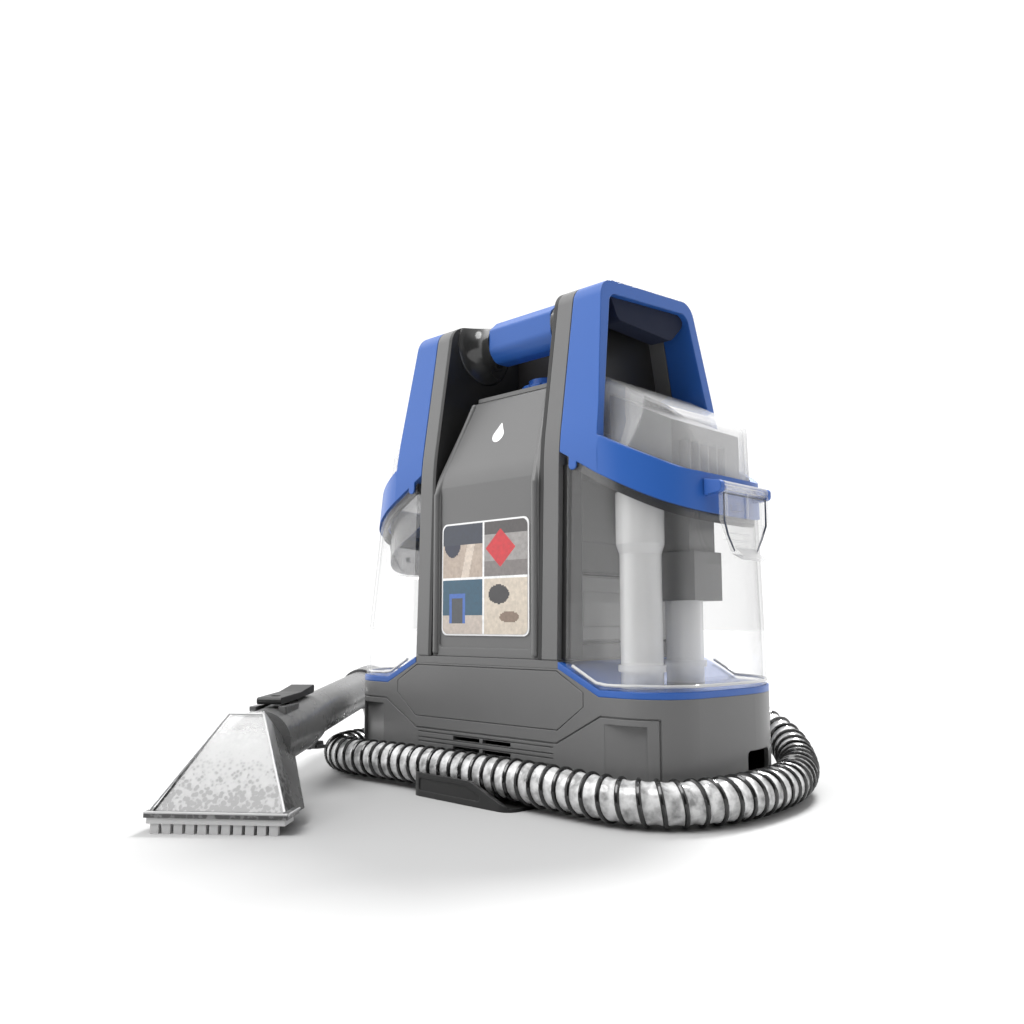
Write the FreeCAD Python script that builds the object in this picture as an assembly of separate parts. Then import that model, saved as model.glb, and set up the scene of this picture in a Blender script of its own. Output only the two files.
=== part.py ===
"""Portable spot carpet cleaner: twin removable tanks on a low base, a carry handle, a suction
hose wrapped round the base and a hand tool on the floor. Millimetres, X right, front faces -Y, Z up.
The origin is the middle of the bottom cover's underside, on the floor."""
import FreeCAD
import Part
import math
import os

V = FreeCAD.Vector

# ---- driving dimensions -------------------------------------------------------------------
# base plan: straight front and rear, bowed sides, rear corners much rounder than the front ones
HALF_DEPTH = 79.0
HALF_WIDTH = 149.0
CORNER_X = 113.0
CORNER_Y = 46.0
CORNER_R = HALF_DEPTH - CORNER_Y
REAR_CORNER_R = 74.0
COVER_Z = 2.0
HOUSING_Z = 5.0
RIM_Z = 70.0
SEAT_T = 4.0
KINK_X = 97.0
SHOULDER_X = 66.0
SHOULDER_Z = 81.0
WALL = 3.0

# column between the tanks
COLLAR_TOP = 86.0
FRAME_IN = 53.0
FRAME_OUT = 65.5
SIDE_WALL_IN = 49.8
FRAME_BAND = 9.0
DECK_Z = 266.0
DECK_T = 3.0
FASCIA_KNEE_Z = 203.0
FASCIA_Y = -77.5
FASCIA_TOP_Y = -51.0
BACK_WALL_Y = 8.3
SHELL = 2.5

# tanks (right hand side; the left tank is the mirror image)
TANK_X = 66.0
BOTTLE_X = 71.5
BOTTLE_INSET = 1.2
BOTTLE_WALL = 2.0
BAND_T = 5.0
DOME_INSET = 5.4
DOME_WALL = 2.2
TANK_DRAFT = 3.0 / 132.0
CORNER_GROWTH = 0.19
DRAFT_TOP_Z = 300.0
INLET_PIPE = (109.0, -52.5, 12.6)
SUCTION_PIPE = (112.0, -11.6, 11.5)
PIPE_WALL = 1.8
PIPE_TOP = 186.0
VALVE_X = 112.0
LATCH_Y = -8.0
LATCH_WIDTH = 50.0
LATCH_PIVOT = (153.0, 188.0)

# carry grip
GRIP_Y = -29.0
GRIP_Z = 313.5
GRIP_HALF = 30.0

# power button
BUTTON_Y = -13.0
BUTTON_R = 18.5

# vacuum motor and fan, upright in the front half of the column
MOTOR_Y = -33.0
MOTOR_R = 29.0
FAN_R = 36.0
FAN_Z = 98.0
SHAFT_R = 3.0

# hose
HOSE_R = 13.0
HOSE_BORE_R = 11.4
HOSE_ROUTE = (
    (62.0, 113.0, 38.0),
    (90.0, 113.0, 38.0),
    (116.0, 103.0, 29.0),
    (136.0, 82.0, 19.5),
    (152.5, 53.0, 14.5),
    (164.5, 10.0, 13.2),
    (163.5, -60.0, 13.2),
    (134.0, -95.5, 13.4),
    (80.0, -94.6, 15.0),
    (16.0, -93.6, 15.6),
    (-58.0, -94.4, 15.4),
    (-133.0, -96.0, 13.4),
    (-163.0, -67.0, 13.2),
    (-166.0, -8.0, 13.2),
    (-164.5, 60.0, 13.3),
    (-158.0, 128.0, 13.2),
    (-170.0, 190.0, 13.2),
    (-214.0, 236.0, 13.2),
    (-276.0, 242.0, 13.2),
    (-326.0, 206.0, 13.2),
    (-334.0, 148.0, 14.6),
    (-306.0, 105.0, 17.0),
    (-283.0, 76.5, 17.0),
)

# rear wall connections: hose elbow and solution line
PORT_X = HOSE_ROUTE[0][0] - 28.0
PORT_Z = HOSE_ROUTE[0][2]
LINE_X = 50.0
LINE_Z = 58.0

# hand tool, in its own frame: X along the lip, Y backwards along the tool, Z up
TOOL_AT = V(-17.0, -253.0, 0.0)
TOOL_TURN = 38.91
LIP_HALF = 37.0
LIP_Z = 8.0
NECK_R = 14.5
NECK_Z = 40.6
NECK_Y = 90.0
NECK_SLOPE = 0.064
WAND_END_Y = 290.0
HANDLE_Z = 17.0


# ---- helpers ------------------------------------------------------------------------------
def box(x0, x1, y0, y1, z0, z1):
    return Part.makeBox(x1 - x0, y1 - y0, z1 - z0, V(x0, y0, z0))


def cylinder(radius, start, end):
    start = V(*start)
    along = V(*end) - start
    return Part.makeCylinder(radius, along.Length, start, along)


def ring(outer, inner, start, end):
    return cylinder(outer, start, end).cut(cylinder(inner, start, end))


def merged(shape):
    """The shape with its coplanar faces joined, where that leaves its volume as it was."""
    joined = shape.removeSplitter()
    same = abs(joined.Volume - shape.Volume) < 1e-5 * shape.Volume
    return joined if same else shape


def unite(shapes):
    whole = shapes[0]
    for shape in shapes[1:]:
        whole = whole.fuse(shape)
    return merged(whole)


def remove(shape, tools):
    for tool in tools:
        shape = shape.cut(tool)
    return shape


def rounded_wire(points, radii, closed):
    """Straight runs joined by tangent arcs; radii holds one radius for each point."""
    points = [V(*point) for point in points]
    count = len(points)
    first = 0 if closed else 1
    last = count if closed else count - 1
    corners = {}
    for index in range(first, last):
        corner = points[index]
        back = (points[index - 1] - corner).normalize()
        ahead = (points[(index + 1) % count] - corner).normalize()
        half_turn = (math.pi - back.getAngle(ahead)) / 2
        radius = radii[index]
        if radius <= 0:
            corners[index] = (corner, None, corner)
            continue
        setback = radius * math.tan(half_turn)
        bisector = (back + ahead).normalize()
        middle = corner + bisector * (radius / math.cos(half_turn) - radius)
        corners[index] = (corner + back * setback, middle, corner + ahead * setback)
    edges = []
    steps = count if closed else count - 1
    for index in range(steps):
        after = (index + 1) % count
        start = corners[index][2] if index in corners else points[index]
        end = corners[after][0] if after in corners else points[after]
        if (end - start).Length > 1e-6:
            edges.append(Part.LineSegment(start, end).toShape())
        if after in corners and corners[after][1] is not None:
            edges.append(Part.Arc(*corners[after]).toShape())
    return Part.Wire(edges)


def prism_x(points, x0, x1, radii=None):
    """A (y, z) outline pulled along X."""
    outline = [(x0, y, z) for y, z in points]
    wire = rounded_wire(outline, radii or [0] * len(points), True)
    return Part.Face(wire).extrude(V(x1 - x0, 0, 0))


def prism_y(points, y0, y1, radii=None):
    """An (x, z) outline pulled along Y."""
    outline = [(x, y0, z) for x, z in points]
    wire = rounded_wire(outline, radii or [0] * len(points), True)
    return Part.Face(wire).extrude(V(0, y1 - y0, 0))


def prism_z(points, z0, z1, radii=None):
    """An (x, y) outline pulled along Z."""
    outline = [(x, y, z0) for x, y in points]
    wire = rounded_wire(outline, radii or [0] * len(points), True)
    return Part.Face(wire).extrude(V(0, 0, z1 - z0))


def both_sides(points):
    """An outline given for X above zero, from bottom to top, closed by its mirror image."""
    return list(points) + [(-x, z) for x, z in reversed(points)]


def mirrored(shape):
    return shape.mirror(V(0, 0, 0), V(1, 0, 0))


def save(node, shape):
    merged(shape).exportStep("parts/" + node + ".step")


# ---- the base plan outline ----------------------------------------------------------------
def side_radius():
    """Radius of the bowed side that is tangent to the corner arc and reaches HALF_WIDTH."""
    gap = HALF_WIDTH - CORNER_X
    return (CORNER_Y ** 2 + gap ** 2 - CORNER_R ** 2) / (2 * (gap - CORNER_R))


SIDE_R = side_radius()
SIDE_CX = HALF_WIDTH - SIDE_R


def plan_wire(inset, z, front_growth=0.0):
    """The outline drawn in by inset, with its front corners made rounder by front_growth."""
    side_r = SIDE_R - inset

    def corner_arc(sign_x, sign_y):
        corner_r = (CORNER_R + front_growth if sign_y < 0 else REAR_CORNER_R) - inset
        centre_y = HALF_DEPTH - inset - corner_r
        centre_x = SIDE_CX + math.sqrt((side_r - corner_r) ** 2 - centre_y ** 2)
        tangent = math.atan2(centre_y, centre_x - SIDE_CX)
        points = []
        for angle in (math.pi / 2, (math.pi / 2 + tangent) / 2, tangent):
            x = centre_x + corner_r * math.cos(angle)
            y = centre_y + corner_r * math.sin(angle)
            points.append(V(sign_x * x, sign_y * y, z))
        return points

    edges = []
    for sign in (1, -1):
        front = corner_arc(sign, -1)
        rear = corner_arc(sign, 1)
        side = V(sign * (SIDE_CX + side_r), 0, z)
        edges.append(Part.Arc(*front).toShape())
        edges.append(Part.Arc(front[2], side, rear[2]).toShape())
        edges.append(Part.Arc(*rear).toShape())
    for sign in (1, -1):
        left = corner_arc(-1, sign)[0]
        right = corner_arc(1, sign)[0]
        edges.append(Part.LineSegment(left, right).toShape())
    return Part.Wire(Part.__sortEdges__(edges))


def plan_prism(inset, z0, z1):
    return Part.Face(plan_wire(inset, z0)).extrude(V(0, 0, z1 - z0))


def plan_skin(depth, z0, z1):
    """A cutter that reaches the given depth into the base's outer wall."""
    return plan_prism(-1.0, z0, z1).cut(plan_prism(depth, z0, z1))


# ---- base ---------------------------------------------------------------------------------
def base_profile(inset):
    return both_sides([
        (HALF_WIDTH + 2, HOUSING_Z), (HALF_WIDTH + 2, RIM_Z - SEAT_T - inset),
        (KINK_X - inset / 4, RIM_Z - SEAT_T - inset), (SHOULDER_X - inset / 4, SHOULDER_Z - inset)])


def seam(points, width=0.9):
    """Thin bands along a line of (x, z) points, for grooves in the front wall."""
    bands = []
    for start, end in zip(points, points[1:]):
        length = math.hypot(end[0] - start[0], end[1] - start[1])
        off_x = -(end[1] - start[1]) / length * width / 2
        off_z = (end[0] - start[0]) / length * width / 2
        outline = [(start[0] + off_x, start[1] + off_z), (end[0] + off_x, end[1] + off_z),
                   (end[0] - off_x, end[1] - off_z), (start[0] - off_x, start[1] - off_z)]
        bands.append(prism_y(outline, -HALF_DEPTH - 2, -CORNER_Y))
    return bands


def hexagon(grow):
    return both_sides([(65 + grow, 45 - grow), (85.3 + grow, 59.6), (85.3 + grow, 68),
                       (64.5 + grow, 79.5 + grow)])


VENT_ROWS = (26.1, 32.6)
SIDE_OUTLET = (-4.0, 26.0, 18.0, 33.0)
NAME_PANEL_T = 1.5


def base_housing():
    outer = plan_prism(0, HOUSING_Z, 90).common(prism_y(base_profile(0), -90, 90))
    inner = plan_prism(WALL, HOUSING_Z, 90).common(prism_y(base_profile(WALL), -90, 90))
    shell = outer.cut(inner)
    backing = prism_z([(99, -80), (131, -80), (131, -68), (99, -75)], HOUSING_Z, 54).common(outer)
    shell = shell.fuse(backing).fuse(mirrored(backing))
    cuts = [prism_y(hexagon(0.4), -HALF_DEPTH - 1, -HALF_DEPTH + NAME_PANEL_T)]
    skin = plan_skin(0.8, HOUSING_Z, 80)
    line = [(64.5, 37), (98, 55), (134, 55), (134, 5)]
    seams = seam(line) + seam([(-x, z) for x, z in line]) + seam([(-64.5, 37), (64.5, 37)])
    for row in VENT_ROWS:
        seams += seam([(-62, row + 1.9), (62, row + 1.9)], 0.6)
        seams += seam([(-62, row - 1.9), (62, row - 1.9)], 0.6)
        for start in (-26.5, 1.5):
            cuts.append(box(start, start + 25, -HALF_DEPTH - 1, -HALF_DEPTH + 4, row - 1.3, row + 1.3))
    cuts += [band.common(skin) for band in seams]
    facet = prism_z([(101, -80), (128, -80), (128, -72.6), (101, -78.9)], HOUSING_Z, 51)
    cuts += [facet, mirrored(facet)]
    y0, y1, z0, z1 = SIDE_OUTLET
    outlet = prism_x([(y0, z0), (y1, z0), (y1, z1), (y0, z1)], 140, 152, [3, 3, 3, 3])
    cuts += [outlet, mirrored(outlet)]
    cuts.append(box(-47, 47, -72, 72, SHOULDER_Z - 4, SHOULDER_Z + 1))
    for x, y, radius in (INLET_PIPE, SUCTION_PIPE):
        cuts.append(cylinder(radius - 2.6, (x, y, 55), (x, y, 75)))
    cuts.append(cylinder(9.0, (-VALVE_X, 0, 55), (-VALVE_X, 0, 75)))
    cuts.append(cylinder(9.0, (PORT_X, 70, PORT_Z), (PORT_X, 85, PORT_Z)))
    cuts.append(cylinder(3.0, (LINE_X, 70, LINE_Z), (LINE_X, 85, LINE_Z)))
    cuts.append(cylinder(4.2, (-70, 70, 34), (-70, 85, 34)))
    return remove(shell, cuts)


def bottom_cover():
    plate = plan_prism(0.6, COVER_Z, HOUSING_Z)
    keel = prism_z([(-62, -40), (62, -40), (62, 40), (-62, 40)], 0, COVER_Z, [10] * 4)
    cover = plate.fuse(keel)
    slots = [box(x, x + 26, y, y + 4, -1, HOUSING_Z + 1)
             for x in (-100, 74) for y in (-14, -2, 10)]
    return remove(cover, slots)


FOOT_PLACES = [(x, y) for x in (-106, 106) for y in (-50, 50)]


def rubber_feet():
    feet = [Part.makeCone(10.5, 11.5, COVER_Z, V(x, y, 0), V(0, 0, 1)) for x, y in FOOT_PLACES]
    return Part.makeCompound(feet)


def name_panel():
    return prism_y(hexagon(0), -HALF_DEPTH, -HALF_DEPTH + NAME_PANEL_T)


def seat_profile(rise, x_in):
    slope = (SHOULDER_Z - RIM_Z + SEAT_T) / (KINK_X - SHOULDER_X)
    top = RIM_Z - SEAT_T + rise
    return [(x_in, top + slope * (KINK_X - x_in)), (KINK_X, top), (HALF_WIDTH + 2, top)]


def rim_seat(spigots):
    lower = seat_profile(0.05, FRAME_OUT + 0.5)
    upper = seat_profile(SEAT_T, FRAME_OUT + 0.5)
    plate = prism_y(lower + upper[::-1], -90, 90).common(plan_prism(0, 50, 100))
    floor = RIM_Z - SEAT_T + 0.05
    for x, y, radius in spigots:
        plate = plate.fuse(cylinder(radius, (x, y, floor), (x, y, RIM_Z + 7)))
        plate = plate.cut(cylinder(radius - 2, (x, y, floor - 10), (x, y, RIM_Z + 9)))
    return plate


def column_collar():
    outer = box(-SHOULDER_X, SHOULDER_X, -HALF_DEPTH + 0.3, HALF_DEPTH - 0.3, SHOULDER_Z, COLLAR_TOP)
    edges = [(FRAME_OUT + 0.4, SHOULDER_Z - 1), (FRAME_OUT + 0.4, COLLAR_TOP + 1)]
    outer = outer.common(prism_y(both_sides(edges), -90, 90))
    return outer.cut(box(-47, 47, -72, 72, SHOULDER_Z - 1, COLLAR_TOP + 1))


# ---- column -------------------------------------------------------------------------------
FRAME_OUTLINE = [(-79.0, COLLAR_TOP + 0.2), (-76.0, 218), (-60.0, 325.5), (43.0, 334.5),
                 (59.0, 266), (74.0, 190), (79.0, COLLAR_TOP + 0.2)]
FRAME_RADII = [0, 200, 14, 12, 120, 150, 0]
FRAME_HOLLOW = [(-70.0, COLLAR_TOP + 9), (-67.0, 218), (-52.4, 317), (36.5, 324.8),
                (49.8, 266), (65.0, 188), (70.0, COLLAR_TOP + 9)]
FRAME_HOLLOW_RADII = [4, 190, 8, 8, 110, 140, 4]


def side_frame():
    outer = prism_x(FRAME_OUTLINE, FRAME_IN, FRAME_OUT, FRAME_RADII)
    return outer.cut(prism_x(FRAME_HOLLOW, FRAME_IN - 1, FRAME_OUT + 1, FRAME_HOLLOW_RADII))


def side_wall():
    return prism_x(FRAME_OUTLINE, SIDE_WALL_IN, FRAME_IN, FRAME_RADII)


def fascia_block(inset, back_y, low_z):
    half = SIDE_WALL_IN - 0.3 - inset
    front = both_sides([(half, low_z), (half, FASCIA_KNEE_Z), (38 - inset, DECK_Z - inset)])
    side = [(FASCIA_Y + inset, low_z), (FASCIA_Y + inset, FASCIA_KNEE_Z - inset / 4),
            (FASCIA_TOP_Y + inset, DECK_Z - inset), (back_y, DECK_Z - inset), (back_y, low_z)]
    rounding = [0, 60, 4 - min(inset, 2), 0, 0]
    return prism_y(front, -90, 90, [0, 40, 0, 0, 40, 0]).common(prism_x(side, -60, 60, rounding))


def column_fascia():
    low = COLLAR_TOP + 0.2
    back = BACK_WALL_Y - 0.3
    shell = fascia_block(0, back, low).cut(fascia_block(SHELL, back + 1, low - 1))
    for sign in (1, -1):
        foot = (sign * 46.4, FASCIA_Y, low + 3)
        knee = (sign * 46.4, FASCIA_Y, FASCIA_KNEE_Z - 6)
        tip = (sign * 36.0, FASCIA_TOP_Y - 0.8, DECK_Z - 3)
        ridge = [cylinder(2.3, foot, knee), cylinder(2.3, knee, tip),
                 Part.makeSphere(2.3, V(*knee)), Part.makeSphere(2.3, V(*tip)),
                 Part.makeSphere(2.3, V(*foot))]
        shell = unite([shell] + ridge)
    recess = prism_y([(-43, 92), (43, 92), (43, 230), (-43, 230)], -82, FASCIA_Y + 1.0, [3, 3, 0, 0])
    hole = cylinder(9.5, (0, BUTTON_Y, DECK_Z - 6), (0, BUTTON_Y, DECK_Z + 3))
    return remove(shell, [recess, hole])


def label_plate():
    return prism_y([(-41, 100), (41, 100), (41, 176), (-41, 176)],
                   FASCIA_Y + 0.3, FASCIA_Y + 1.0, [5] * 4)


def top_deck():
    plate = prism_z([(-37.5, FASCIA_TOP_Y + 1), (37.5, FASCIA_TOP_Y + 1),
                     (37.5, BACK_WALL_Y - 0.3), (-37.5, BACK_WALL_Y - 0.3)],
                    DECK_Z, DECK_Z + DECK_T, [6, 6, 0, 0])
    collar = ring(BUTTON_R, 9.5, (0, BUTTON_Y, DECK_Z + 1), (0, BUTTON_Y, DECK_Z + DECK_T + 1.4))
    return plate.fuse(collar).cut(cylinder(9.5, (0, BUTTON_Y, DECK_Z - 1), (0, BUTTON_Y, DECK_Z + 9)))


REAR_OUTLINE = [(BACK_WALL_Y, COLLAR_TOP + 0.2), (BACK_WALL_Y, 318), (44.0, 321),
                (56.5, 266), (71.5, 190), (76.5, COLLAR_TOP + 0.2)]
REAR_HOLLOW = [(BACK_WALL_Y + SHELL, COLLAR_TOP - 1), (BACK_WALL_Y + SHELL, 315),
               (42.0, 318), (54.0, 266), (69.0, 190), (74.0, COLLAR_TOP - 1)]


def column_rear_cover():
    half = SIDE_WALL_IN - 0.3
    outer = prism_x(REAR_OUTLINE, -half, half, [0, 6, 10, 100, 120, 0])
    inner = prism_x(REAR_HOLLOW, -half + SHELL, half - SHELL, [0, 4, 7, 95, 115, 0])
    shell = outer.cut(inner)
    slots = []
    for row in range(7):
        z = 130 + row * 9
        slots.append(box(-30, 30, 60, 85, z, z + 4))
    pass_through = box(-40, 40, 0, 20, COLLAR_TOP + 6, 250)
    return remove(shell, slots + [pass_through])


def carry_grip():
    section = [(GRIP_Y - 14, GRIP_Z - 8), (GRIP_Y - 8, GRIP_Z - 15.5), (GRIP_Y + 8, GRIP_Z - 15.5),
               (GRIP_Y + 14, GRIP_Z - 8), (GRIP_Y + 14, GRIP_Z + 9), (GRIP_Y + 7, GRIP_Z + 15.5),
               (GRIP_Y - 6, GRIP_Z + 15.5), (GRIP_Y - 14, GRIP_Z + 8)]
    outer = prism_x(section, -GRIP_HALF, GRIP_HALF, [9, 9, 9, 9, 6, 6, 3, 3])
    return outer.cut(cylinder(9.0, (-GRIP_HALF - 1, GRIP_Y, GRIP_Z), (GRIP_HALF + 1, GRIP_Y, GRIP_Z)))


def grip_collars():
    end_x = SIDE_WALL_IN - 0.1
    profile = [(GRIP_HALF + 0.3, 15.0), (35, 14.4), (40, 14.8), (44, 16.8), (47.5, 21.0), (end_x, 27.0)]
    curve = Part.BSplineCurve()
    curve.interpolate([V(x, 0, radius) for x, radius in profile])
    outline = Part.Wire([
        curve.toShape(),
        Part.LineSegment(V(end_x, 0, 27.0), V(end_x, 0, 0)).toShape(),
        Part.LineSegment(V(end_x, 0, 0), V(profile[0][0], 0, 0)).toShape(),
        Part.LineSegment(V(profile[0][0], 0, 0), V(profile[0][0], 0, 15.0)).toShape()])
    flare = Part.Face(outline).revolve(V(0, 0, 0), V(1, 0, 0), 360)
    flare.translate(V(0, GRIP_Y, GRIP_Z))
    inside = prism_x(FRAME_OUTLINE, 0, 60, FRAME_RADII)
    flare = flare.common(inside)
    return Part.makeCompound([flare, mirrored(flare)])


# ---- working parts inside the column ------------------------------------------------------
def vacuum_motor():
    can = ring(MOTOR_R, SHAFT_R + 1.0, (0, MOTOR_Y, 132), (0, MOTOR_Y, 196))
    boss = ring(11, SHAFT_R + 1.0, (0, MOTOR_Y, 196), (0, MOTOR_Y, 203))
    fins = [box(-MOTOR_R - 1, MOTOR_R + 1, MOTOR_Y - 2, MOTOR_Y + 2, z, z + 5) for z in (150, 164, 178)]
    return remove(can.fuse(boss), [fin.cut(cylinder(MOTOR_R - 4, (0, MOTOR_Y, 140), (0, MOTOR_Y, 190)))
                                   for fin in fins])


def motor_mounts():
    lower = ring(MOTOR_R + 4, MOTOR_R - 5, (0, MOTOR_Y, 128), (0, MOTOR_Y, 131.8))
    upper = ring(MOTOR_R + 4, MOTOR_R + 0.1, (0, MOTOR_Y, 186), (0, MOTOR_Y, 194))
    return Part.makeCompound([lower, upper])


def fan_housing():
    outer = cylinder(FAN_R + 5, (0, MOTOR_Y, FAN_Z - 8), (0, MOTOR_Y, FAN_Z + 29.8))
    cavity = cylinder(FAN_R + 2, (0, MOTOR_Y, FAN_Z - 5), (0, MOTOR_Y, FAN_Z + 26.8))
    inlet = cylinder(13, (0, MOTOR_Y, FAN_Z - 12), (0, MOTOR_Y, FAN_Z))
    bore = cylinder(SHAFT_R + 1.5, (0, MOTOR_Y, FAN_Z + 20), (0, MOTOR_Y, FAN_Z + 35))
    outlet = box(-10, 10, MOTOR_Y + FAN_R - 4, MOTOR_Y + FAN_R + 8, FAN_Z + 2, FAN_Z + 20)
    return remove(outer, [cavity, inlet, bore, outlet])


def fan_impeller():
    hub = ring(8, SHAFT_R, (0, MOTOR_Y, FAN_Z + 2), (0, MOTOR_Y, FAN_Z + 22))
    disc = ring(FAN_R, SHAFT_R, (0, MOTOR_Y, FAN_Z + 20), (0, MOTOR_Y, FAN_Z + 22))
    blades = []
    for index in range(9):
        blade = box(7, FAN_R - 1, -1, 1, FAN_Z + 3, FAN_Z + 20)
        blade.rotate(V(7, 0, 0), V(0, 0, 1), 35)
        blade = blade.common(cylinder(FAN_R - 0.5, (0, 0, FAN_Z), (0, 0, FAN_Z + 24)))
        blade.rotate(V(0, 0, 0), V(0, 0, 1), index * 40)
        blade.translate(V(0, MOTOR_Y, 0))
        blades.append(blade)
    return unite([hub, disc] + blades)


def motor_shaft():
    return cylinder(SHAFT_R, (0, MOTOR_Y, FAN_Z + 1), (0, MOTOR_Y, 208))


def water_pump():
    body = cylinder(17, (-52, 20, 22), (-52, 52, 22))
    head = box(-66, -38, 2, 20, 8, 38)
    outlet = cylinder(4, (-52, 11, 38), (-52, 11, 44))
    inlet = cylinder(4, (-66, 11, 22), (-74, 11, 22))
    return unite([body, head, outlet, inlet])


def circuit_board():
    board = box(-30, 30, 28, 29.6, 200, 262)
    chips = [box(-22, -4, 29.6, 37, 208, 230), box(2, 20, 29.6, 34, 236, 254)]
    caps = [cylinder(5, (14, 29.6, 216), (14, 46, 216))]
    return unite([board] + chips + caps)


def power_switch():
    body = box(-11, 11, BUTTON_Y - 8, BUTTON_Y + 8, 232, 250)
    plunger = cylinder(4, (0, BUTTON_Y, 250), (0, BUTTON_Y, 254))
    bracket = box(-36.5, 36.5, BUTTON_Y - 8, BUTTON_Y + 8, 229, 231.9)
    return unite([body.fuse(plunger), box(-11, 11, BUTTON_Y - 8, BUTTON_Y + 8, 231, 233), bracket])


def power_button():
    flange_z = DECK_Z + DECK_T + 3.8
    flange = cylinder(BUTTON_R, (0, BUTTON_Y, flange_z), (0, BUTTON_Y, flange_z + 5))
    cap = cylinder(13.5, (0, BUTTON_Y, flange_z + 5), (0, BUTTON_Y, flange_z + 10))
    stem = cylinder(6, (0, BUTTON_Y, 257), (0, BUTTON_Y, flange_z))
    button = unite([flange, cap, stem])
    notches = []
    for index in range(12):
        angle = math.radians(30 * index)
        x = (BUTTON_R + 0.6) * math.cos(angle)
        y = BUTTON_Y + (BUTTON_R + 0.6) * math.sin(angle)
        notches.append(cylinder(1.6, (x, y, flange_z - 1), (x, y, flange_z + 6)))
    return remove(button, notches)


def duct(points, outer, inner):
    """A bent tube with mitred straight runs."""
    ends = list(zip(points, points[1:]))
    solid = unite([cylinder(outer, *pair) for pair in ends]
                  + [Part.makeSphere(outer, V(*point)) for point in points[1:-1]])
    hollow = unite([cylinder(inner, *pair) for pair in ends]
                   + [Part.makeSphere(inner, V(*point)) for point in points[1:-1]])
    return solid.cut(hollow)


def base_ducts():
    x, y, _ = SUCTION_PIPE
    air = duct([(x, y, 62.7), (x, y, 48), (0, MOTOR_Y, 48), (0, MOTOR_Y, FAN_Z - 8.2)], 11, 9)
    x, y, _ = INLET_PIPE
    dirty = duct([(x, y, 62.7), (x, y, 22), (PORT_X, 40, PORT_Z), (PORT_X, 75.8, PORT_Z)], 10, 8)
    return Part.makeCompound([air, dirty])


def water_line():
    feed = duct([(-VALVE_X, 0, 62.7), (-VALVE_X, 0, 30), (-90, 11, 22), (-74.2, 11, 22)], 3.5, 2)
    outlet = duct([(-52, 11, 44.2), (-52, 11, 52), (-20, 40, 52), (LINE_X, 50, LINE_Z),
                   (LINE_X, 75.8, LINE_Z)], 3.5, 2)
    return Part.makeCompound([feed, outlet])


# ---- hose ---------------------------------------------------------------------------------
def hose_cradle():
    plate = prism_z([(-31, -HALF_DEPTH + 0.2), (-31, -112), (57, -112), (57, -HALF_DEPTH + 0.2)],
                    0, 1.8, [0, 9, 9, 0])
    lip = prism_y([(-31, 1.8), (57, 1.8), (24, 14.5), (-31, 14.5)], -112, -109.3, [0, 0, 9, 5])
    lip = lip.cut(prism_y([(-22, 3.6), (42, 3.6), (21, 11.4), (-22, 11.4)], -112.5, -111.4, [2, 2, 4, 2]))
    lip = lip.common(prism_z([(-31, -100), (-31, -112), (57, -112), (57, -100)], 0, 20, [0, 9, 9, 0]))
    lip = remove(lip, [box(x, x + 2.4, -110.6, -109, 11.5, 15) for x in range(-22, 20, 7)])
    tongue = box(-31, 57, -HALF_DEPTH + 0.2, -HALF_DEPTH + 6, 0, 1.8)
    return unite([plate, lip, tongue])


def hose_port():
    mouth_x, mouth_y, _ = HOSE_ROUTE[0]
    root = V(PORT_X, HALF_DEPTH + 0.1, PORT_Z)
    path = rounded_wire([tuple(root), (PORT_X, mouth_y, PORT_Z), (mouth_x - 0.05, mouth_y, PORT_Z)],
                        [0, 24, 0], False)
    profiles = [Part.Face(Part.Wire(Part.Circle(root, V(0, 1, 0), radius).toShape()))
                for radius in (16.0, 12.0)]
    pipe = path.makePipe(profiles[0]).cut(path.makePipe(profiles[1]))
    flange = ring(20, 12, tuple(root), (PORT_X, HALF_DEPTH + 4, PORT_Z))
    return pipe.fuse(flange)


def hose_radii():
    points = [V(*point) for point in HOSE_ROUTE]
    radii = [0.0]
    for before, corner, after in zip(points, points[1:], points[2:]):
        back = before - corner
        ahead = after - corner
        half_turn = (math.pi - back.getAngle(ahead)) / 2
        radii.append(0.45 * min(back.Length, ahead.Length) / math.tan(half_turn))
    radii.append(0.0)
    return radii


def hose_tube():
    radii = hose_radii()
    path = rounded_wire(HOSE_ROUTE, radii, False)
    start = V(*HOSE_ROUTE[0])
    along = V(*HOSE_ROUTE[1]) - start
    outer = path.makePipe(Part.Face(Part.Wire(Part.Circle(start, along, HOSE_R).toShape())))
    inner = path.makePipe(Part.Face(Part.Wire(Part.Circle(start, along, HOSE_BORE_R).toShape())))
    tube = outer.cut(inner)
    section = math.pi * (HOSE_R ** 2 - HOSE_BORE_R ** 2)
    print("hose length %.1f, bend radii %s" % (path.Length, [round(r, 1) for r in radii]))
    print("hose volume / (section * length) = %.4f" % (tube.Volume / (section * path.Length)))
    return tube


def hose_cuffs():
    cuffs = []
    for near, far in ((HOSE_ROUTE[0], HOSE_ROUTE[1]), (HOSE_ROUTE[-1], HOSE_ROUTE[-2])):
        start = V(*near)
        along = (V(*far) - start).normalize()
        outer = Part.makeCone(16.0, 15.0, 13.0, start, along)
        cuffs.append(outer.cut(Part.makeCylinder(HOSE_R + 0.05, 13.0, start, along)))
    return Part.makeCompound(cuffs)


# ---- tanks --------------------------------------------------------------------------------
BAND_LOW = [(TANK_X - 1, 214.5), (94, 198), (123, 183), (132, 178.5), (152, 170)]
BAND_HIGH = [(TANK_X - 1, 233), (97, 220), (124, 206), (137, 199), (152, 195)]


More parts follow.
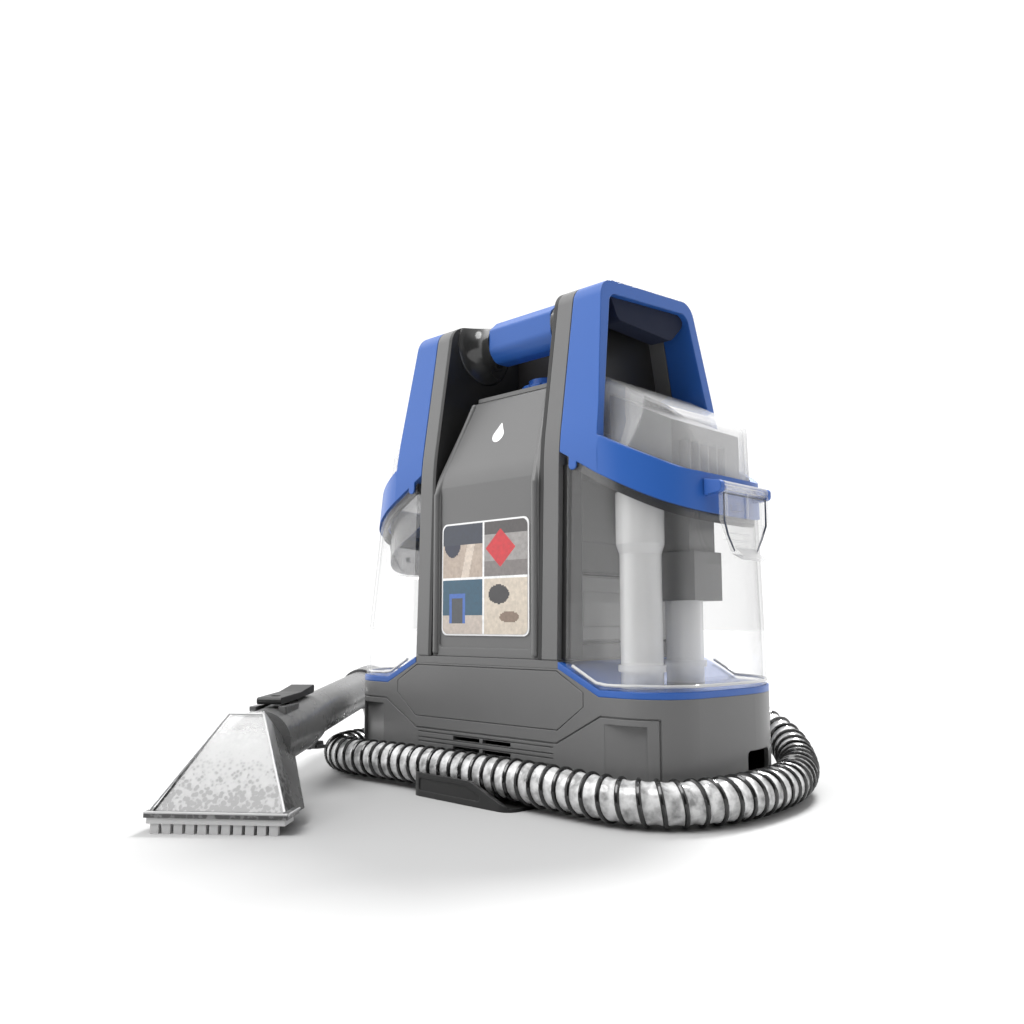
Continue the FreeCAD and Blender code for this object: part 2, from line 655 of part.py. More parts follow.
def tank_block(inset, z0, z1):
    """A block inside the tank outline, which draws in above the column's foot like the frames."""
    foot = plan_prism(inset, 50, COLLAR_TOP)
    draft = TANK_DRAFT * (DRAFT_TOP_Z - COLLAR_TOP)
    growth = CORNER_GROWTH * (DRAFT_TOP_Z - COLLAR_TOP)
    body = Part.makeLoft([plan_wire(inset, COLLAR_TOP), plan_wire(inset + draft, DRAFT_TOP_Z, growth)],
                         True, True)
    front = [(-90 + inset, 50), (FRAME_OUTLINE[0][0] - 0.5 + inset, FRAME_OUTLINE[0][1]),
             (FRAME_OUTLINE[1][0] + inset, FRAME_OUTLINE[1][1]),
             (FRAME_OUTLINE[2][0] + inset, FRAME_OUTLINE[2][1]), (90, FRAME_OUTLINE[2][1]), (90, 50)]
    room = box(TANK_X + inset, 160, -90, 90, z0, z1).common(prism_x(front, 60, 160, [0, 0, 200, 0, 0, 0]))
    return foot.fuse(body).common(room)


def between(low, high):
    """The space between two (x, z) lines, full depth."""
    return prism_y(list(low) + list(high)[::-1], -90, 90)


def raised(line, rise):
    return [(x, z + rise) for x, z in line]


def tank_bottle(bores):
    floor = seat_profile(SEAT_T + 0.35, TANK_X)
    top = raised(BAND_LOW, -0.3)
    outer = tank_block(BOTTLE_INSET, 60, 230).common(between(floor, top))
    outer = outer.common(box(BOTTLE_X, 160, -90, 90, 60, 230))
    room = tank_block(BOTTLE_INSET + BOTTLE_WALL, 60, 230)
    room = room.common(box(BOTTLE_X + BOTTLE_WALL, 160, -90, 90, 60, 230))
    inner = room.common(between(raised(floor, BOTTLE_WALL + 0.2), raised(BAND_LOW, 20)))
    bottle = outer.cut(inner)
    ledge = box(140, 150.6, LATCH_Y - 12, LATCH_Y + 12, 158, 162)
    ledge = ledge.cut(tank_block(BOTTLE_INSET + BOTTLE_WALL, 150, 170))
    bottle = bottle.fuse(ledge)
    return remove(bottle, [cylinder(radius + 0.05, (x, y, 60), (x, y, 80)) for x, y, radius in bores])


def tank_handle():
    band = tank_block(0, 150, 250).cut(tank_block(BAND_T, 150, 250)).common(between(BAND_LOW, BAND_HIGH))
    lean = [(TANK_X + 0.1, 190), (96, 190), (94.5, 242), (87, 336), (TANK_X + 0.1, 340)]
    loop = prism_x(FRAME_OUTLINE, TANK_X, 100, FRAME_RADII).common(prism_y(lean, -90, 90, [0, 0, 100, 0, 0]))
    gap = [(-69.5, 150), (-69.0, 232), (-52.4, 317), (36.5, 324.8), (49.8, 266), (62.5, 222), (66, 150)]
    loop = loop.cut(prism_x(gap, TANK_X - 1, 101, [0, 200, 8, 8, 110, 60, 0]))
    loop = loop.common(between(BAND_LOW, [(TANK_X - 1, 345), (152, 345)]))
    hook = prism_y([(TANK_X + 7.5, 218), (TANK_X + 7.5, 201.5), (TANK_X + 13.5, 201.5), (TANK_X + 13.5, 218)],
                   -90, 0, [0, 2.9, 2.9, 0])
    hook = hook.common(tank_block(0, 190, 240).cut(tank_block(BOTTLE_INSET - 0.15, 190, 240)))
    hinge_x, hinge_z = LATCH_PIVOT
    lugs = []
    for side in (-1, 1):
        inner_y = LATCH_Y + side * (LATCH_WIDTH / 2 + 0.4)
        y0, y1 = sorted((inner_y, inner_y + side * 4))
        lug = prism_y([(144.5, hinge_z - 5), (hinge_x + 3, hinge_z - 3.5), (hinge_x + 3, hinge_z + 3),
                       (144.5, hinge_z + 5)], y0, y1, [0, 2.5, 2.5, 0])
        pin_end = inner_y - side * 6
        lugs.append(lug)
        lugs.append(cylinder(1.6, (hinge_x, inner_y + side, hinge_z), (hinge_x, pin_end, hinge_z)))
    nub = box(146.5, 151.0, LATCH_Y - 3, LATCH_Y + 3, 175.5, 179.5)
    whole = unite([band, loop, hook, nub] + lugs)
    return whole.cut(tank_block(BAND_T, 150, 238).common(box(TANK_X + BAND_T, 160, -90, 90, 150, 205)))


def grip_insert():
    outline = [(-45, 316.5), (-38, 304), (22, 303), (36, 316), (38, 324.6), (-47, 317.3)]
    pad = prism_x(outline, TANK_X + 3, 84, [0, 7, 9, 3, 0, 0])
    hollow = prism_x([(-60, 340), (-60, 317.7), (60, 327.9), (60, 340)], 60, 100)
    pad = pad.cut(hollow)
    return pad.common(prism_x([(-69.0, 232), (-52.2, 316.8), (36.3, 324.6), (49.6, 266)],
                              60, 100, [0, 8, 8, 0]))


DOME_SIDE = [(-71.0, 165), (-70.5, 199), (-60.5, 232), (-55.0, 268),
             (44.5, 268), (50.5, 240), (58.0, 218), (70.5, 199), (71.0, 165)]


def dome_block(inset):
    top = [(TANK_X, 266 - inset), (81, 265 - inset), (128, 238 - inset), (134.5 - inset, 231 - inset),
           (142.5 - inset, 196), (144 - inset, 160), (TANK_X, 160)]
    side = [(y - math.copysign(inset, y), z - (inset if z > 260 else 0)) for y, z in DOME_SIDE]
    shape = prism_y(top, -90, 90, [0, 20, 12, 8 - inset, 20, 0, 0])
    shape = shape.common(prism_x(side, 60, 160, [0, 10, 40, 8 - inset, 8 - inset, 20, 20, 10, 0]))
    return shape.common(tank_block(DOME_INSET + inset, 150, 280))


def tank_dome():
    shell = dome_block(0).cut(dome_block(DOME_WALL))
    shell = shell.cut(box(TANK_X, 96.4, 62.2, 80, 195, 217))
    return shell.common(between(raised(BAND_LOW, 2.5), [(TANK_X - 1, 300), (152, 300)]))


def tank_seal():
    seal = tank_block(BOTTLE_INSET + BOTTLE_WALL + 0.3, 150, 240)
    seal = seal.common(box(BOTTLE_X + BOTTLE_WALL + 0.3, 160, -90, 90, 150, 240))
    room = tank_block(BOTTLE_INSET + BOTTLE_WALL + 3.0, 150, 240)
    seal = seal.cut(room.common(box(BOTTLE_X + BOTTLE_WALL + 3.0, 160, -90, 90, 150, 240)))
    return seal.common(between(raised(BAND_LOW, -6), raised(BAND_LOW, -0.05)))


def tank_latch():
    hinge_x, hinge_z = LATCH_PIVOT
    y0 = LATCH_Y - LATCH_WIDTH / 2
    y1 = LATCH_Y + LATCH_WIDTH / 2
    barrel = cylinder(3.6, (hinge_x, y0, hinge_z), (hinge_x, y1, hinge_z))
    plate = box(151.6, 154.4, y0, y1, 168, hinge_z)
    skirt = prism_x([(y0, 168), (y0 + 12, 150), (y1 - 12, 150), (y1, 168)], 151.6, 153.8, [0, 4, 4, 0])
    tab = prism_y([(151.6, 154), (151.6, 149), (159, 145), (160.5, 146.5), (154, 152.5)],
                  LATCH_Y - 12, LATCH_Y + 12)
    ribs = [box(154.4, 156.4, y, y + 2, 170, 186) for y in (y0, LATCH_Y - 1, y1 - 2)]
    hook = box(150.95, 152, LATCH_Y - 10, LATCH_Y + 10, 153.5, 156.5)
    latch = unite([barrel, plate, skirt, tab, hook] + ribs)
    return latch.cut(cylinder(1.68, (hinge_x, y0 - 1, hinge_z), (hinge_x, y1 + 1, hinge_z)))


def inlet_standpipe():
    x, y, radius = INLET_PIPE
    floor = RIM_Z + 0.35
    parts = [cylinder(radius, (x, y, floor), (x, y, 150)),
             Part.makeCone(radius, radius + 2, 6, V(x, y, 149), V(0, 0, 1)),
             cylinder(radius + 2, (x, y, 155), (x, y, PIPE_TOP)),
             cylinder(radius + 1.6, (x, y, 80), (x, y, 84))]
    return unite(parts).cut(cylinder(radius - PIPE_WALL, (x, y, floor - 1), (x, y, PIPE_TOP + 1)))


def suction_standpipe():
    x, y, radius = SUCTION_PIPE
    floor = RIM_Z + 0.35
    parts = [cylinder(radius, (x, y, floor), (x, y, PIPE_TOP)),
             cylinder(radius + 1.6, (x, y, 82), (x, y, 86))]
    return unite(parts).cut(cylinder(radius - PIPE_WALL, (x, y, floor - 1), (x, y, PIPE_TOP + 1)))


GUARD = (97.0, 130.0, -27.0, 4.0)
GUARD_Z = (122.0, 152.0)


def dirty_separator():
    x, y, radius = SUCTION_PIPE
    x0, x1, y0, y1 = GUARD
    z0, z1 = GUARD_Z
    guard = box(x0, x1, y0, y1, z0, z1).cut(box(x0 + 2, x1 - 2, y0 + 2, y1 - 2, z0 - 1, z1 - 2))
    stops = [box(x0 + 1, x0 + 4.6, y - 3, y + 3, z0, z0 + 1.6),
             box(x1 - 4.6, x1 - 1, y - 3, y + 3, z0, z0 + 1.6)]
    tower = box(x0, x1 - 4, y0 + 1, y1 - 1, z1 - 1, 200)
    hood = prism_y([(80, 196), (126, 196), (126, 231), (80, 254)], -42, 36)
    room = prism_y([(82, 190), (124, 190), (124, 229.5), (82, 250.8)], -40, 34)
    body = unite([guard, tower, hood] + stops)
    body = remove(body, [room.common(box(80, 130, -60, 60, 198, 260)),
                         cylinder(radius + 0.9, (x, y, 100), (x, y, 199))])
    fins = [box(126, 133.2, fin_y, fin_y + 1.6, 198, 219) for fin_y in (-34, -24, -14, -4, 6)]
    legs = [box(84, 88, leg_y, leg_y + 3, 185, 197) for leg_y in (-38, 30)]
    return unite([body] + fins + legs)


def dirty_float():
    x, y, radius = SUCTION_PIPE
    x0, x1, y0, y1 = GUARD
    z0 = GUARD_Z[0] + 2.0
    block = box(x0 + 2.4, x1 - 2.4, y0 + 2.4, y1 - 2.4, z0, z0 + 12)
    return block.cut(cylinder(radius + 0.4, (x, y, z0 - 1), (x, y, z0 + 13)))


def clean_valve():
    body = ring(12, 6.4, (-VALVE_X, 0, RIM_Z + 2.6), (-VALVE_X, 0, RIM_Z + 14))
    cap = cylinder(10, (-VALVE_X, 0, RIM_Z + 14), (-VALVE_X, 0, RIM_Z + 17))
    stem = cylinder(2, (-VALVE_X, 0, RIM_Z + 8.4), (-VALVE_X, 0, RIM_Z + 15))
    return unite([body, cap, stem])


# ---- hand tool ----------------------------------------------------------------------------
def place_tool(shape):
    shape = shape.copy()
    shape.rotate(V(0, 0, 0), V(0, 0, 1), TOOL_TURN)
    shape.translate(TOOL_AT)
    return shape


def neck_point(y, drop=0.0):
    return (0.0, y, NECK_Z + (y - NECK_Y) * NECK_SLOPE - drop)


def nozzle_loft(inset):
    base_z = LIP_Z - (1.0 if inset else 0.0)
    low = [(-LIP_HALF + inset, inset, base_z), (LIP_HALF - inset, inset, base_z),
           (LIP_HALF - inset, 31 - inset, base_z), (-LIP_HALF + inset, 31 - inset, base_z)]
    high = [(-10 + inset / 2, 38, 59 - inset), (10 - inset / 2, 38, 59 - inset),
            (14 - inset, 82, 29 + inset), (-14 + inset, 82, 29 + inset)]
    wires = [Part.makePolygon([V(*point) for point in outline + outline[:1]]) for outline in (low, high)]
    return Part.makeLoft(wires, True, True)


SPLIT_FOOT_Y = 17.0
SPLIT_TOP_Y = 56.0


def front_space():
    """The space in front of the slanted parting plane between the window and the body."""
    outline = [(-20, -5), (SPLIT_FOOT_Y, -5), (SPLIT_FOOT_Y, LIP_Z), (SPLIT_TOP_Y, 62), (-20, 62)]
    return prism_x(outline, -60, 60)


def nozzle_shell():
    sleeve_in = NECK_R + 0.3
    outer = unite([nozzle_loft(0), cylinder(18.0, neck_point(62), neck_point(128))])
    outer = outer.common(box(-60, 60, -5, 200, LIP_Z, 70))
    mouth = box(-LIP_HALF + 2.5, LIP_HALF - 2.5, 2.5, 12, LIP_Z - 1, LIP_Z + 3)
    cavity = unite([nozzle_loft(2.2).common(box(-60, 60, -5, 80, LIP_Z + 2, 70)), mouth,
                    cylinder(12.0, neck_point(58), neck_point(100)),
                    cylinder(sleeve_in, neck_point(96), neck_point(130))])
    return outer.cut(cavity)


def nozzle_body():
    shell = nozzle_shell().cut(front_space())
    return unite([shell] + [box(x - 2, x + 2, 70, 96, 54, 58.6) for x in (-9, 9)]).cut(
        cylinder(12.0, neck_point(58), neck_point(100)))


def nozzle_window():
    lip = box(-LIP_HALF - 1.5, LIP_HALF + 1.5, -1.5, SPLIT_FOOT_Y, LIP_Z, LIP_Z + 3)
    lip = lip.cut(box(-LIP_HALF + 2.5, LIP_HALF - 2.5, 2.5, SPLIT_FOOT_Y + 1, LIP_Z - 1, LIP_Z + 5))
    shell = nozzle_shell().common(front_space())
    return unite([shell, lip])


TUFTS = 11


def brush_strip():
    rail = box(-LIP_HALF, LIP_HALF, -1, 13, 5, LIP_Z - 0.05)
    rail = rail.cut(box(-LIP_HALF + 3, LIP_HALF - 3, 3.4, 11.2, 4, LIP_Z + 1))
    pitch = (2 * LIP_HALF - 4) / TUFTS
    teeth = []
    for index in range(TUFTS):
        start = -LIP_HALF + 2 + index * pitch
        teeth.append(box(start, start + pitch * 0.72, -0.5, 2.5, 0, 5.5))
    return unite([rail] + teeth)


def spray_tip():
    mount = prism_x([(45, 11.5), (54, 11.5), (54, 17.4), (45, 13.7)], -4, 4)
    tip = Part.makeCone(3.4, 1.6, 6, V(0, 49, 12.5), V(0, -0.5, -0.87))
    return mount.fuse(tip)


def nozzle_release():
    block = prism_x([(72, 59.5), (108, 60.4), (138, 62.1), (138, 67.6), (112, 64.4), (72, 63.6)],
                    -7.5, 7.5, [2, 0, 2, 2, 8, 2])
    return block.cut(cylinder(3.2, (0, 84, 55), (0, 84, 70)))


def wand_tube():
    outer = cylinder(NECK_R, neck_point(102), neck_point(WAND_END_Y))
    guard = cylinder(17.0, neck_point(129), neck_point(139))
    bore = cylinder(12.4, neck_point(101), neck_point(WAND_END_Y + 1))
    body = unite([outer, guard]).cut(bore)
    ears = [box(x, x + 2.4, 140, 150, 24, 34) for x in (-5.4, 3.0)]
    body = remove(unite([body] + ears), [bore, cylinder(1.5, (-9, 145, 27.5), (9, 145, 27.5))])
    return body.cut(box(-3, 3, 139, 152, 20, 31.2))


def trigger():
    lever = prism_x([(141.5, 30.4), (141.5, 24.6), (150, 23.6), (176, 20.6), (180, 22.4),
                     (178, 25.2), (152, 28.6)], -2.6, 2.6, [1, 1, 0, 1, 1, 1, 0])
    pad = prism_x([(152, 25.4), (178, 22.6), (176, 20.4), (152, 22.8)], -6, 6, [0.8, 0.8, 0.8, 0.8])
    return lever.fuse(pad).cut(cylinder(1.58, (-9, 145, 27.5), (9, 145, 27.5)))


def trigger_pin():
    return cylinder(1.5, (-5.4, 145, 27.5), (5.4, 145, 27.5))


HANDLE_ROUTE = [(0.0, WAND_END_Y, NECK_Z + (WAND_END_Y - NECK_Y) * NECK_SLOPE),
                (0.0, 338.0, NECK_Z + (338.0 - NECK_Y) * NECK_SLOPE), (0.0, 384.0, HANDLE_Z),
                (0.0, 423.4, HANDLE_Z)]


def wand_handle():
    path = rounded_wire(HANDLE_ROUTE, [0, 52, 40, 0], False)
    start = V(*HANDLE_ROUTE[0])
    along = V(*HANDLE_ROUTE[1]) - start
    outer = path.makePipe(Part.Face(Part.Wire(Part.Circle(start, along, 16.5).toShape())))
    inner = path.makePipe(Part.Face(Part.Wire(Part.Circle(start, along, 11.5).toShape())))
    return outer.cut(inner)


# ---- small parts --------------------------------------------------------------------------
def cord_gland():
    sleeve = ring(4.1, 3.2, (-70, HALF_DEPTH - 5, 34), (-70, HALF_DEPTH + 0.2, 34))
    flange = ring(8.0, 3.2, (-70, HALF_DEPTH + 0.1, 34), (-70, HALF_DEPTH + 3, 34))
    tail = Part.makeCone(6.0, 4.6, 14, V(-70, HALF_DEPTH + 2.9, 34), V(0, 1, 0))
    tail = tail.cut(cylinder(3.2, (-70, HALF_DEPTH, 34), (-70, HALF_DEPTH + 20, 34)))
    return unite([sleeve, flange, tail])


def housing_screws():
    places = [(x, y) for x in (-126, 126) for y in (-28, 28)]
    return Part.makeCompound([cylinder(3.4, (x, y, COVER_Z - 1.4), (x, y, COVER_Z - 0.05))
                              for x, y in places])


def main():
    os.makedirs("parts", exist_ok=True)
    save("bottom_cover", bottom_cover())
    save("rubber_feet", rubber_feet())
    save("base_housing", base_housing())
    save("name_panel", name_panel())
    seat = rim_seat([(x, y, radius - 2.9) for x, y, radius in (INLET_PIPE, SUCTION_PIPE)])
    save("rim_seat_right", seat)
    save("rim_seat_left", mirrored(rim_seat([(VALVE_X, 0, 5.8)])))
    save("column_collar", column_collar())
    for side, turn in (("right", lambda shape: shape), ("left", mirrored)):
        save("side_frame_" + side, turn(side_frame()))
        save("side_wall_" + side, turn(side_wall()))
    save("column_fascia", column_fascia())
    save("label_plate", label_plate())
    save("top_deck", top_deck())
    save("column_rear_cover", column_rear_cover())
    save("carry_grip", carry_grip())
    save("grip_collars", grip_collars())
    save("vacuum_motor", vacuum_motor())
    save("motor_mounts", motor_mounts())
    save("fan_housing", fan_housing())
    save("fan_impeller", fan_impeller())
    save("motor_shaft", motor_shaft())
    save("water_pump", water_pump())
    save("circuit_board", circuit_board())
    save("power_switch", power_switch())
    save("power_button", power_button())
    save("base_ducts", base_ducts())
    save("water_line", water_line())
    save("hose_cradle", hose_cradle())
    save("hose_port", hose_port())
    save("hose_tube", hose_tube())
    save("hose_cuffs", hose_cuffs())
    save("cord_gland", cord_gland())
    save("housing_screws", housing_screws())
    for side, turn in (("dirty", lambda shape: shape), ("clean", mirrored)):
        bores = [INLET_PIPE, SUCTION_PIPE] if side == "dirty" else [(VALVE_X, 0, 6.4)]
        save(side + "_bottle", turn(tank_bottle(bores)))
        save(side + "_handle", turn(tank_handle()))
        save(side + "_grip_insert", turn(grip_insert()))
        save(side + "_dome", turn(tank_dome()))
        save(side + "_seal", turn(tank_seal()))
        save(side + "_latch", turn(tank_latch()))
    save("inlet_standpipe", inlet_standpipe())
    save("suction_standpipe", suction_standpipe())
    save("dirty_separator", dirty_separator())
    save("dirty_float", dirty_float())
    save("clean_valve", clean_valve())
    save("nozzle_body", place_tool(nozzle_body()))
    save("nozzle_window", place_tool(nozzle_window()))
    save("brush_strip", place_tool(brush_strip()))
    save("spray_tip", place_tool(spray_tip()))
    save("nozzle_release", place_tool(nozzle_release()))
    save("wand_tube", place_tool(wand_tube()))
    save("wand_handle", place_tool(wand_handle()))
    save("trigger", place_tool(trigger()))
    save("trigger_pin", place_tool(trigger_pin()))


main()
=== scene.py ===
"""The looks of a portable spot carpet cleaner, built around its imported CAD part.
Metres, X right, the front faces -Y, Z up, floor at Z 0."""

import math
import random

import bpy
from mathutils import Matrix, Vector
from mathutils.bvhtree import BVHTree


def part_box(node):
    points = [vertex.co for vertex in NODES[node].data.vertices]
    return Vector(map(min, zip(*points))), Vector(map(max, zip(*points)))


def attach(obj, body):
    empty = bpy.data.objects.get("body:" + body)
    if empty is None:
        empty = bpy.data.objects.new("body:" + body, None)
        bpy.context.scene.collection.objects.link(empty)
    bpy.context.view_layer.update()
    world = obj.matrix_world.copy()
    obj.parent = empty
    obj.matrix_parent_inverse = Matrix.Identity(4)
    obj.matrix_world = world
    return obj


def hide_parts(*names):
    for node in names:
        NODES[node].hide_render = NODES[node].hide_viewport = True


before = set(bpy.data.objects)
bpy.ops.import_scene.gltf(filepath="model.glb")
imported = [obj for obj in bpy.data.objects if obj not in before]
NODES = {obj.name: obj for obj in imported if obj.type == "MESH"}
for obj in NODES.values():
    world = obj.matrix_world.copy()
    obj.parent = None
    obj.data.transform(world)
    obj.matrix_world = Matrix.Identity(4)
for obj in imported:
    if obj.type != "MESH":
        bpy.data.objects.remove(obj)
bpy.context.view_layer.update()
MM = 0.001


# ---- camera --------------------------------------------------------------------------------
CAMERA_PLACE = (0.42974, -0.49521, 0.10829)
CAMERA_TURN = 44.0
CAMERA_PITCH = 6.99
LENS_LENGTH = 31.87
SENSOR_WIDTH = 36.0


def make_camera():
    """A low camera in front and to the right, which looks slightly upwards."""
    turn = math.radians(CAMERA_TURN)
    pitch = math.radians(CAMERA_PITCH)
    data = bpy.data.cameras.new("camera")
    data.lens = LENS_LENGTH
    data.sensor_width = SENSOR_WIDTH
    data.clip_start = 0.01
    camera = bpy.data.objects.new("camera", data)
    bpy.context.scene.collection.objects.link(camera)
    ahead = Vector((-math.sin(turn) * math.cos(pitch), math.cos(turn) * math.cos(pitch),
                    math.sin(pitch)))
    camera.location = CAMERA_PLACE
    camera.rotation_mode = "QUATERNION"
    camera.rotation_quaternion = ahead.to_track_quat("-Z", "Y")
    bpy.context.scene.camera = camera


# ---- colours and node helpers ---------------------------------------------------------------
def tone(red, green, blue):
    """An sRGB colour given from 0 to 255, as linear RGBA."""
    def linear(value):
        value /= 255.0
        return value / 12.92 if value <= 0.04045 else ((value + 0.055) / 1.055) ** 2.4
    return (linear(red), linear(green), linear(blue), 1.0)


def grey(value):
    return tone(value, value, value)


def fresh(name):
    """A new material with its node tree and its main shader."""
    look = bpy.data.materials.new(name)
    look.use_nodes = True
    tree = look.node_tree
    return look, tree, tree.nodes["Principled BSDF"]


def feed(tree, socket, value):
    """Sets a socket to a constant, or links it to the output of another node."""
    if isinstance(value, bpy.types.NodeSocket):
        tree.links.new(value, socket)
    else:
        socket.default_value = value


def add(tree, kind, **values):
    """A node of that kind, with its input sockets fed by name."""
    node = tree.nodes.new(kind)
    for key, value in values.items():
        feed(tree, node.inputs[key.replace("_", " ")], value)
    return node


def calculated(tree, operation, *values, clamp=False):
    """The result of a maths node on constants and the outputs of other nodes."""
    node = tree.nodes.new("ShaderNodeMath")
    node.operation = operation
    node.use_clamp = clamp
    for socket, value in zip(node.inputs, values):
        feed(tree, socket, value)
    return node.outputs[0]


def spread(tree, source, low, high, start=0.0, end=1.0, interpolation="LINEAR"):
    """Maps a value from start..end on to low..high."""
    ranged = tree.nodes.new("ShaderNodeMapRange")
    ranged.interpolation_type = interpolation
    for key, value in (("Value", source), ("From Min", start), ("From Max", end),
                       ("To Min", low), ("To Max", high)):
        feed(tree, ranged.inputs[key], value)
    return ranged.outputs["Result"]


def coordinates(tree):
    return tree.nodes.new("ShaderNodeTexCoord").outputs["Object"]


def noise(tree, scale, detail=3.0, stretch=None):
    vector = coordinates(tree)
    if stretch:
        vector = add(tree, "ShaderNodeMapping", Scale=stretch, Vector=vector).outputs["Vector"]
    return add(tree, "ShaderNodeTexNoise", Scale=scale, Detail=detail, Vector=vector).outputs["Fac"]


def two_tone(tree, share, first, second, blend="MIX"):
    """Colours mixed by a share. Each is a constant or the output of another node."""
    mixed = tree.nodes.new("ShaderNodeMix")
    mixed.data_type = "RGBA"
    mixed.blend_type = blend
    for key, value in (("Factor", share), ("A", first), ("B", second)):
        feed(tree, mixed.inputs[key], value)
    return mixed.outputs["Result"]


def mixed_shader(tree, share, first, second):
    mixed = add(tree, "ShaderNodeMixShader", Fac=share)
    tree.links.new(first, mixed.inputs[1])
    tree.links.new(second, mixed.inputs[2])
    return mixed


def shade(colour, share):
    """A colour made darker or lighter by a share."""
    return tuple(min(1.0, part * share) for part in colour[:3]) + (1.0,)


def relief(tree, shader, source, strength, distance, edge=0.0):
    """Bump from a 0 to 1 value, on edges softened by the given radius."""
    bump = add(tree, "ShaderNodeBump", Strength=strength, Distance=distance, Height=source)
    if edge:
        bevel = add(tree, "ShaderNodeBevel", Radius=edge)
        bevel.samples = 4
        tree.links.new(bevel.outputs["Normal"], bump.inputs["Normal"])
    tree.links.new(bump.outputs["Normal"], shader.inputs["Normal"])


def moulded(name, colour, rough, grain=0.12, edge=0.0008, coat=0.0, drift=0.06):
    """Injection-moulded plastic: spark-eroded grain, slow drift in colour and gloss, soft edges."""
    look, tree, shader = fresh(name)
    cloud = noise(tree, 14.0)
    patch = noise(tree, 60.0)
    fine = noise(tree, 1500.0, 2.0)
    tree.links.new(two_tone(tree, cloud, shade(colour, 1 - drift), shade(colour, 1 + drift)),
                   shader.inputs["Base Color"])
    tree.links.new(spread(tree, patch, rough - 0.03, rough + 0.03, 0.2, 0.8),
                   shader.inputs["Roughness"])
    shader.inputs["Specular IOR Level"].default_value = 0.4
    shader.inputs["Coat Weight"].default_value = coat
    shader.inputs["Coat Roughness"].default_value = 0.12
    relief(tree, shader, fine, grain, 0.0002, edge)
    return look


def edge_on(tree, power):
    """0 where a surface faces the viewer, rising to 1 where it is seen edge on, from both sides."""
    weight = add(tree, "ShaderNodeLayerWeight", Blend=0.5)
    return calculated(tree, "POWER", weight.outputs["Facing"], power)


def clear(name, haze, rim, low, high, rough=0.04, wave=0.03, tint=grey(254), shine=0.55):
    """Clear moulded plastic: the haze colour face on and the rim colour where the wall is seen
    edge on, as dense as low to high, with gloss over both. The rim colour is painted edge shade, a
    darker tone for the dark outline a clear wall shows when seen edge on. The rest is a
    straight-through film, so that thin walls don't bend what is behind them."""
    look, tree, shader = fresh(name)
    # painted edge shade: the colour turns to the darker rim colour where the wall is seen edge on
    tree.links.new(two_tone(tree, spread(tree, edge_on(tree, 3.0), 0, 1, 0.1, 0.9), haze, rim),
                   shader.inputs["Base Color"])
    shader.inputs["Roughness"].default_value = 0.3
    relief(tree, shader, noise(tree, 28.0, 1.0), wave, 0.002)
    through = add(tree, "ShaderNodeBsdfTransparent", Color=tint)
    body = mixed_shader(tree, spread(tree, edge_on(tree, 2.5), low, high),
                        through.outputs["BSDF"], shader.outputs["BSDF"])
    body.name = "clear_body"
    gloss = add(tree, "ShaderNodeBsdfGlossy",
                Roughness=spread(tree, noise(tree, 40.0), rough, rough + 0.05, 0.3, 0.7))
    mixed = mixed_shader(tree, spread(tree, edge_on(tree, 5.0), 0.04, shine),
                         body.outputs["Shader"], gloss.outputs["BSDF"])
    tree.links.new(mixed.outputs["Shader"], tree.nodes["Material Output"].inputs["Surface"])
    return look


def metal(name, colour, rough):
    """Metal brushed across its own Z."""
    look, tree, shader = fresh(name)
    brushed = noise(tree, 260.0, 4.0, (1, 1, 12))
    tree.links.new(two_tone(tree, brushed, shade(colour, 0.82), colour),
                   shader.inputs["Base Color"])
    tree.links.new(spread(tree, brushed, rough - 0.08, rough + 0.12), shader.inputs["Roughness"])
    shader.inputs["Metallic"].default_value = 1.0
    relief(tree, shader, brushed, 0.15, 0.0002)
    return look


def painted(name):
    """Print on film: the colour comes from the mesh, with a fine screen of ink."""
    look, tree, shader = fresh(name)
    ink = tree.nodes.new("ShaderNodeAttribute")
    ink.attribute_name = "ink"
    mottle = noise(tree, 420.0, 6.0)
    screen = two_tone(tree, mottle, (0.62, 0.62, 0.62, 1), (1.25, 1.25, 1.25, 1))
    tree.links.new(two_tone(tree, 1.0, ink.outputs["Color"], screen, "MULTIPLY"),
                   shader.inputs["Base Color"])
    tree.links.new(spread(tree, mottle, 0.30, 0.45), shader.inputs["Roughness"])
    shader.inputs["Coat Weight"].default_value = 0.4
    relief(tree, shader, mottle, 0.05, 0.0002)
    return look


def foamy_window(name):
    """The clear nozzle window: a wet film and dirty foam inside, denser towards the lip."""
    look = clear(name, grey(235), grey(130), 0.16, 0.8, 0.10, 0.05)
    tree = look.node_tree
    colour = tree.nodes["Principled BSDF"].inputs["Base Color"]
    density = tree.nodes["clear_body"].inputs["Fac"]
    clean_colour = colour.links[0].from_socket
    clean_density = density.links[0].from_socket
    cells = add(tree, "ShaderNodeTexVoronoi", Scale=420.0, Randomness=1.0,
                Vector=coordinates(tree))
    height = add(tree, "ShaderNodeSeparateXYZ", Vector=coordinates(tree))
    wet = spread(tree, height.outputs["Z"], 1.0, 0.0, 0.010, 0.056)
    blotch = spread(tree, noise(tree, 150.0, 4.0), 0.0, 1.0, 0.34, 0.46)
    ring = spread(tree, cells.outputs["Distance"], 1.0, 0.15, 0.2, 0.7)
    specks = calculated(tree, "MULTIPLY", calculated(tree, "MULTIPLY", wet, blotch), ring)
    murk = calculated(tree, "MULTIPLY_ADD", wet, 0.74, specks, clamp=True)
    tree.links.new(two_tone(tree, murk, clean_colour, grey(52)), colour)
    film = calculated(tree, "MULTIPLY_ADD", wet, 0.72, clean_density, clamp=True)
    tree.links.new(calculated(tree, "MULTIPLY_ADD", specks, 0.9, film, clamp=True), density)
    return look


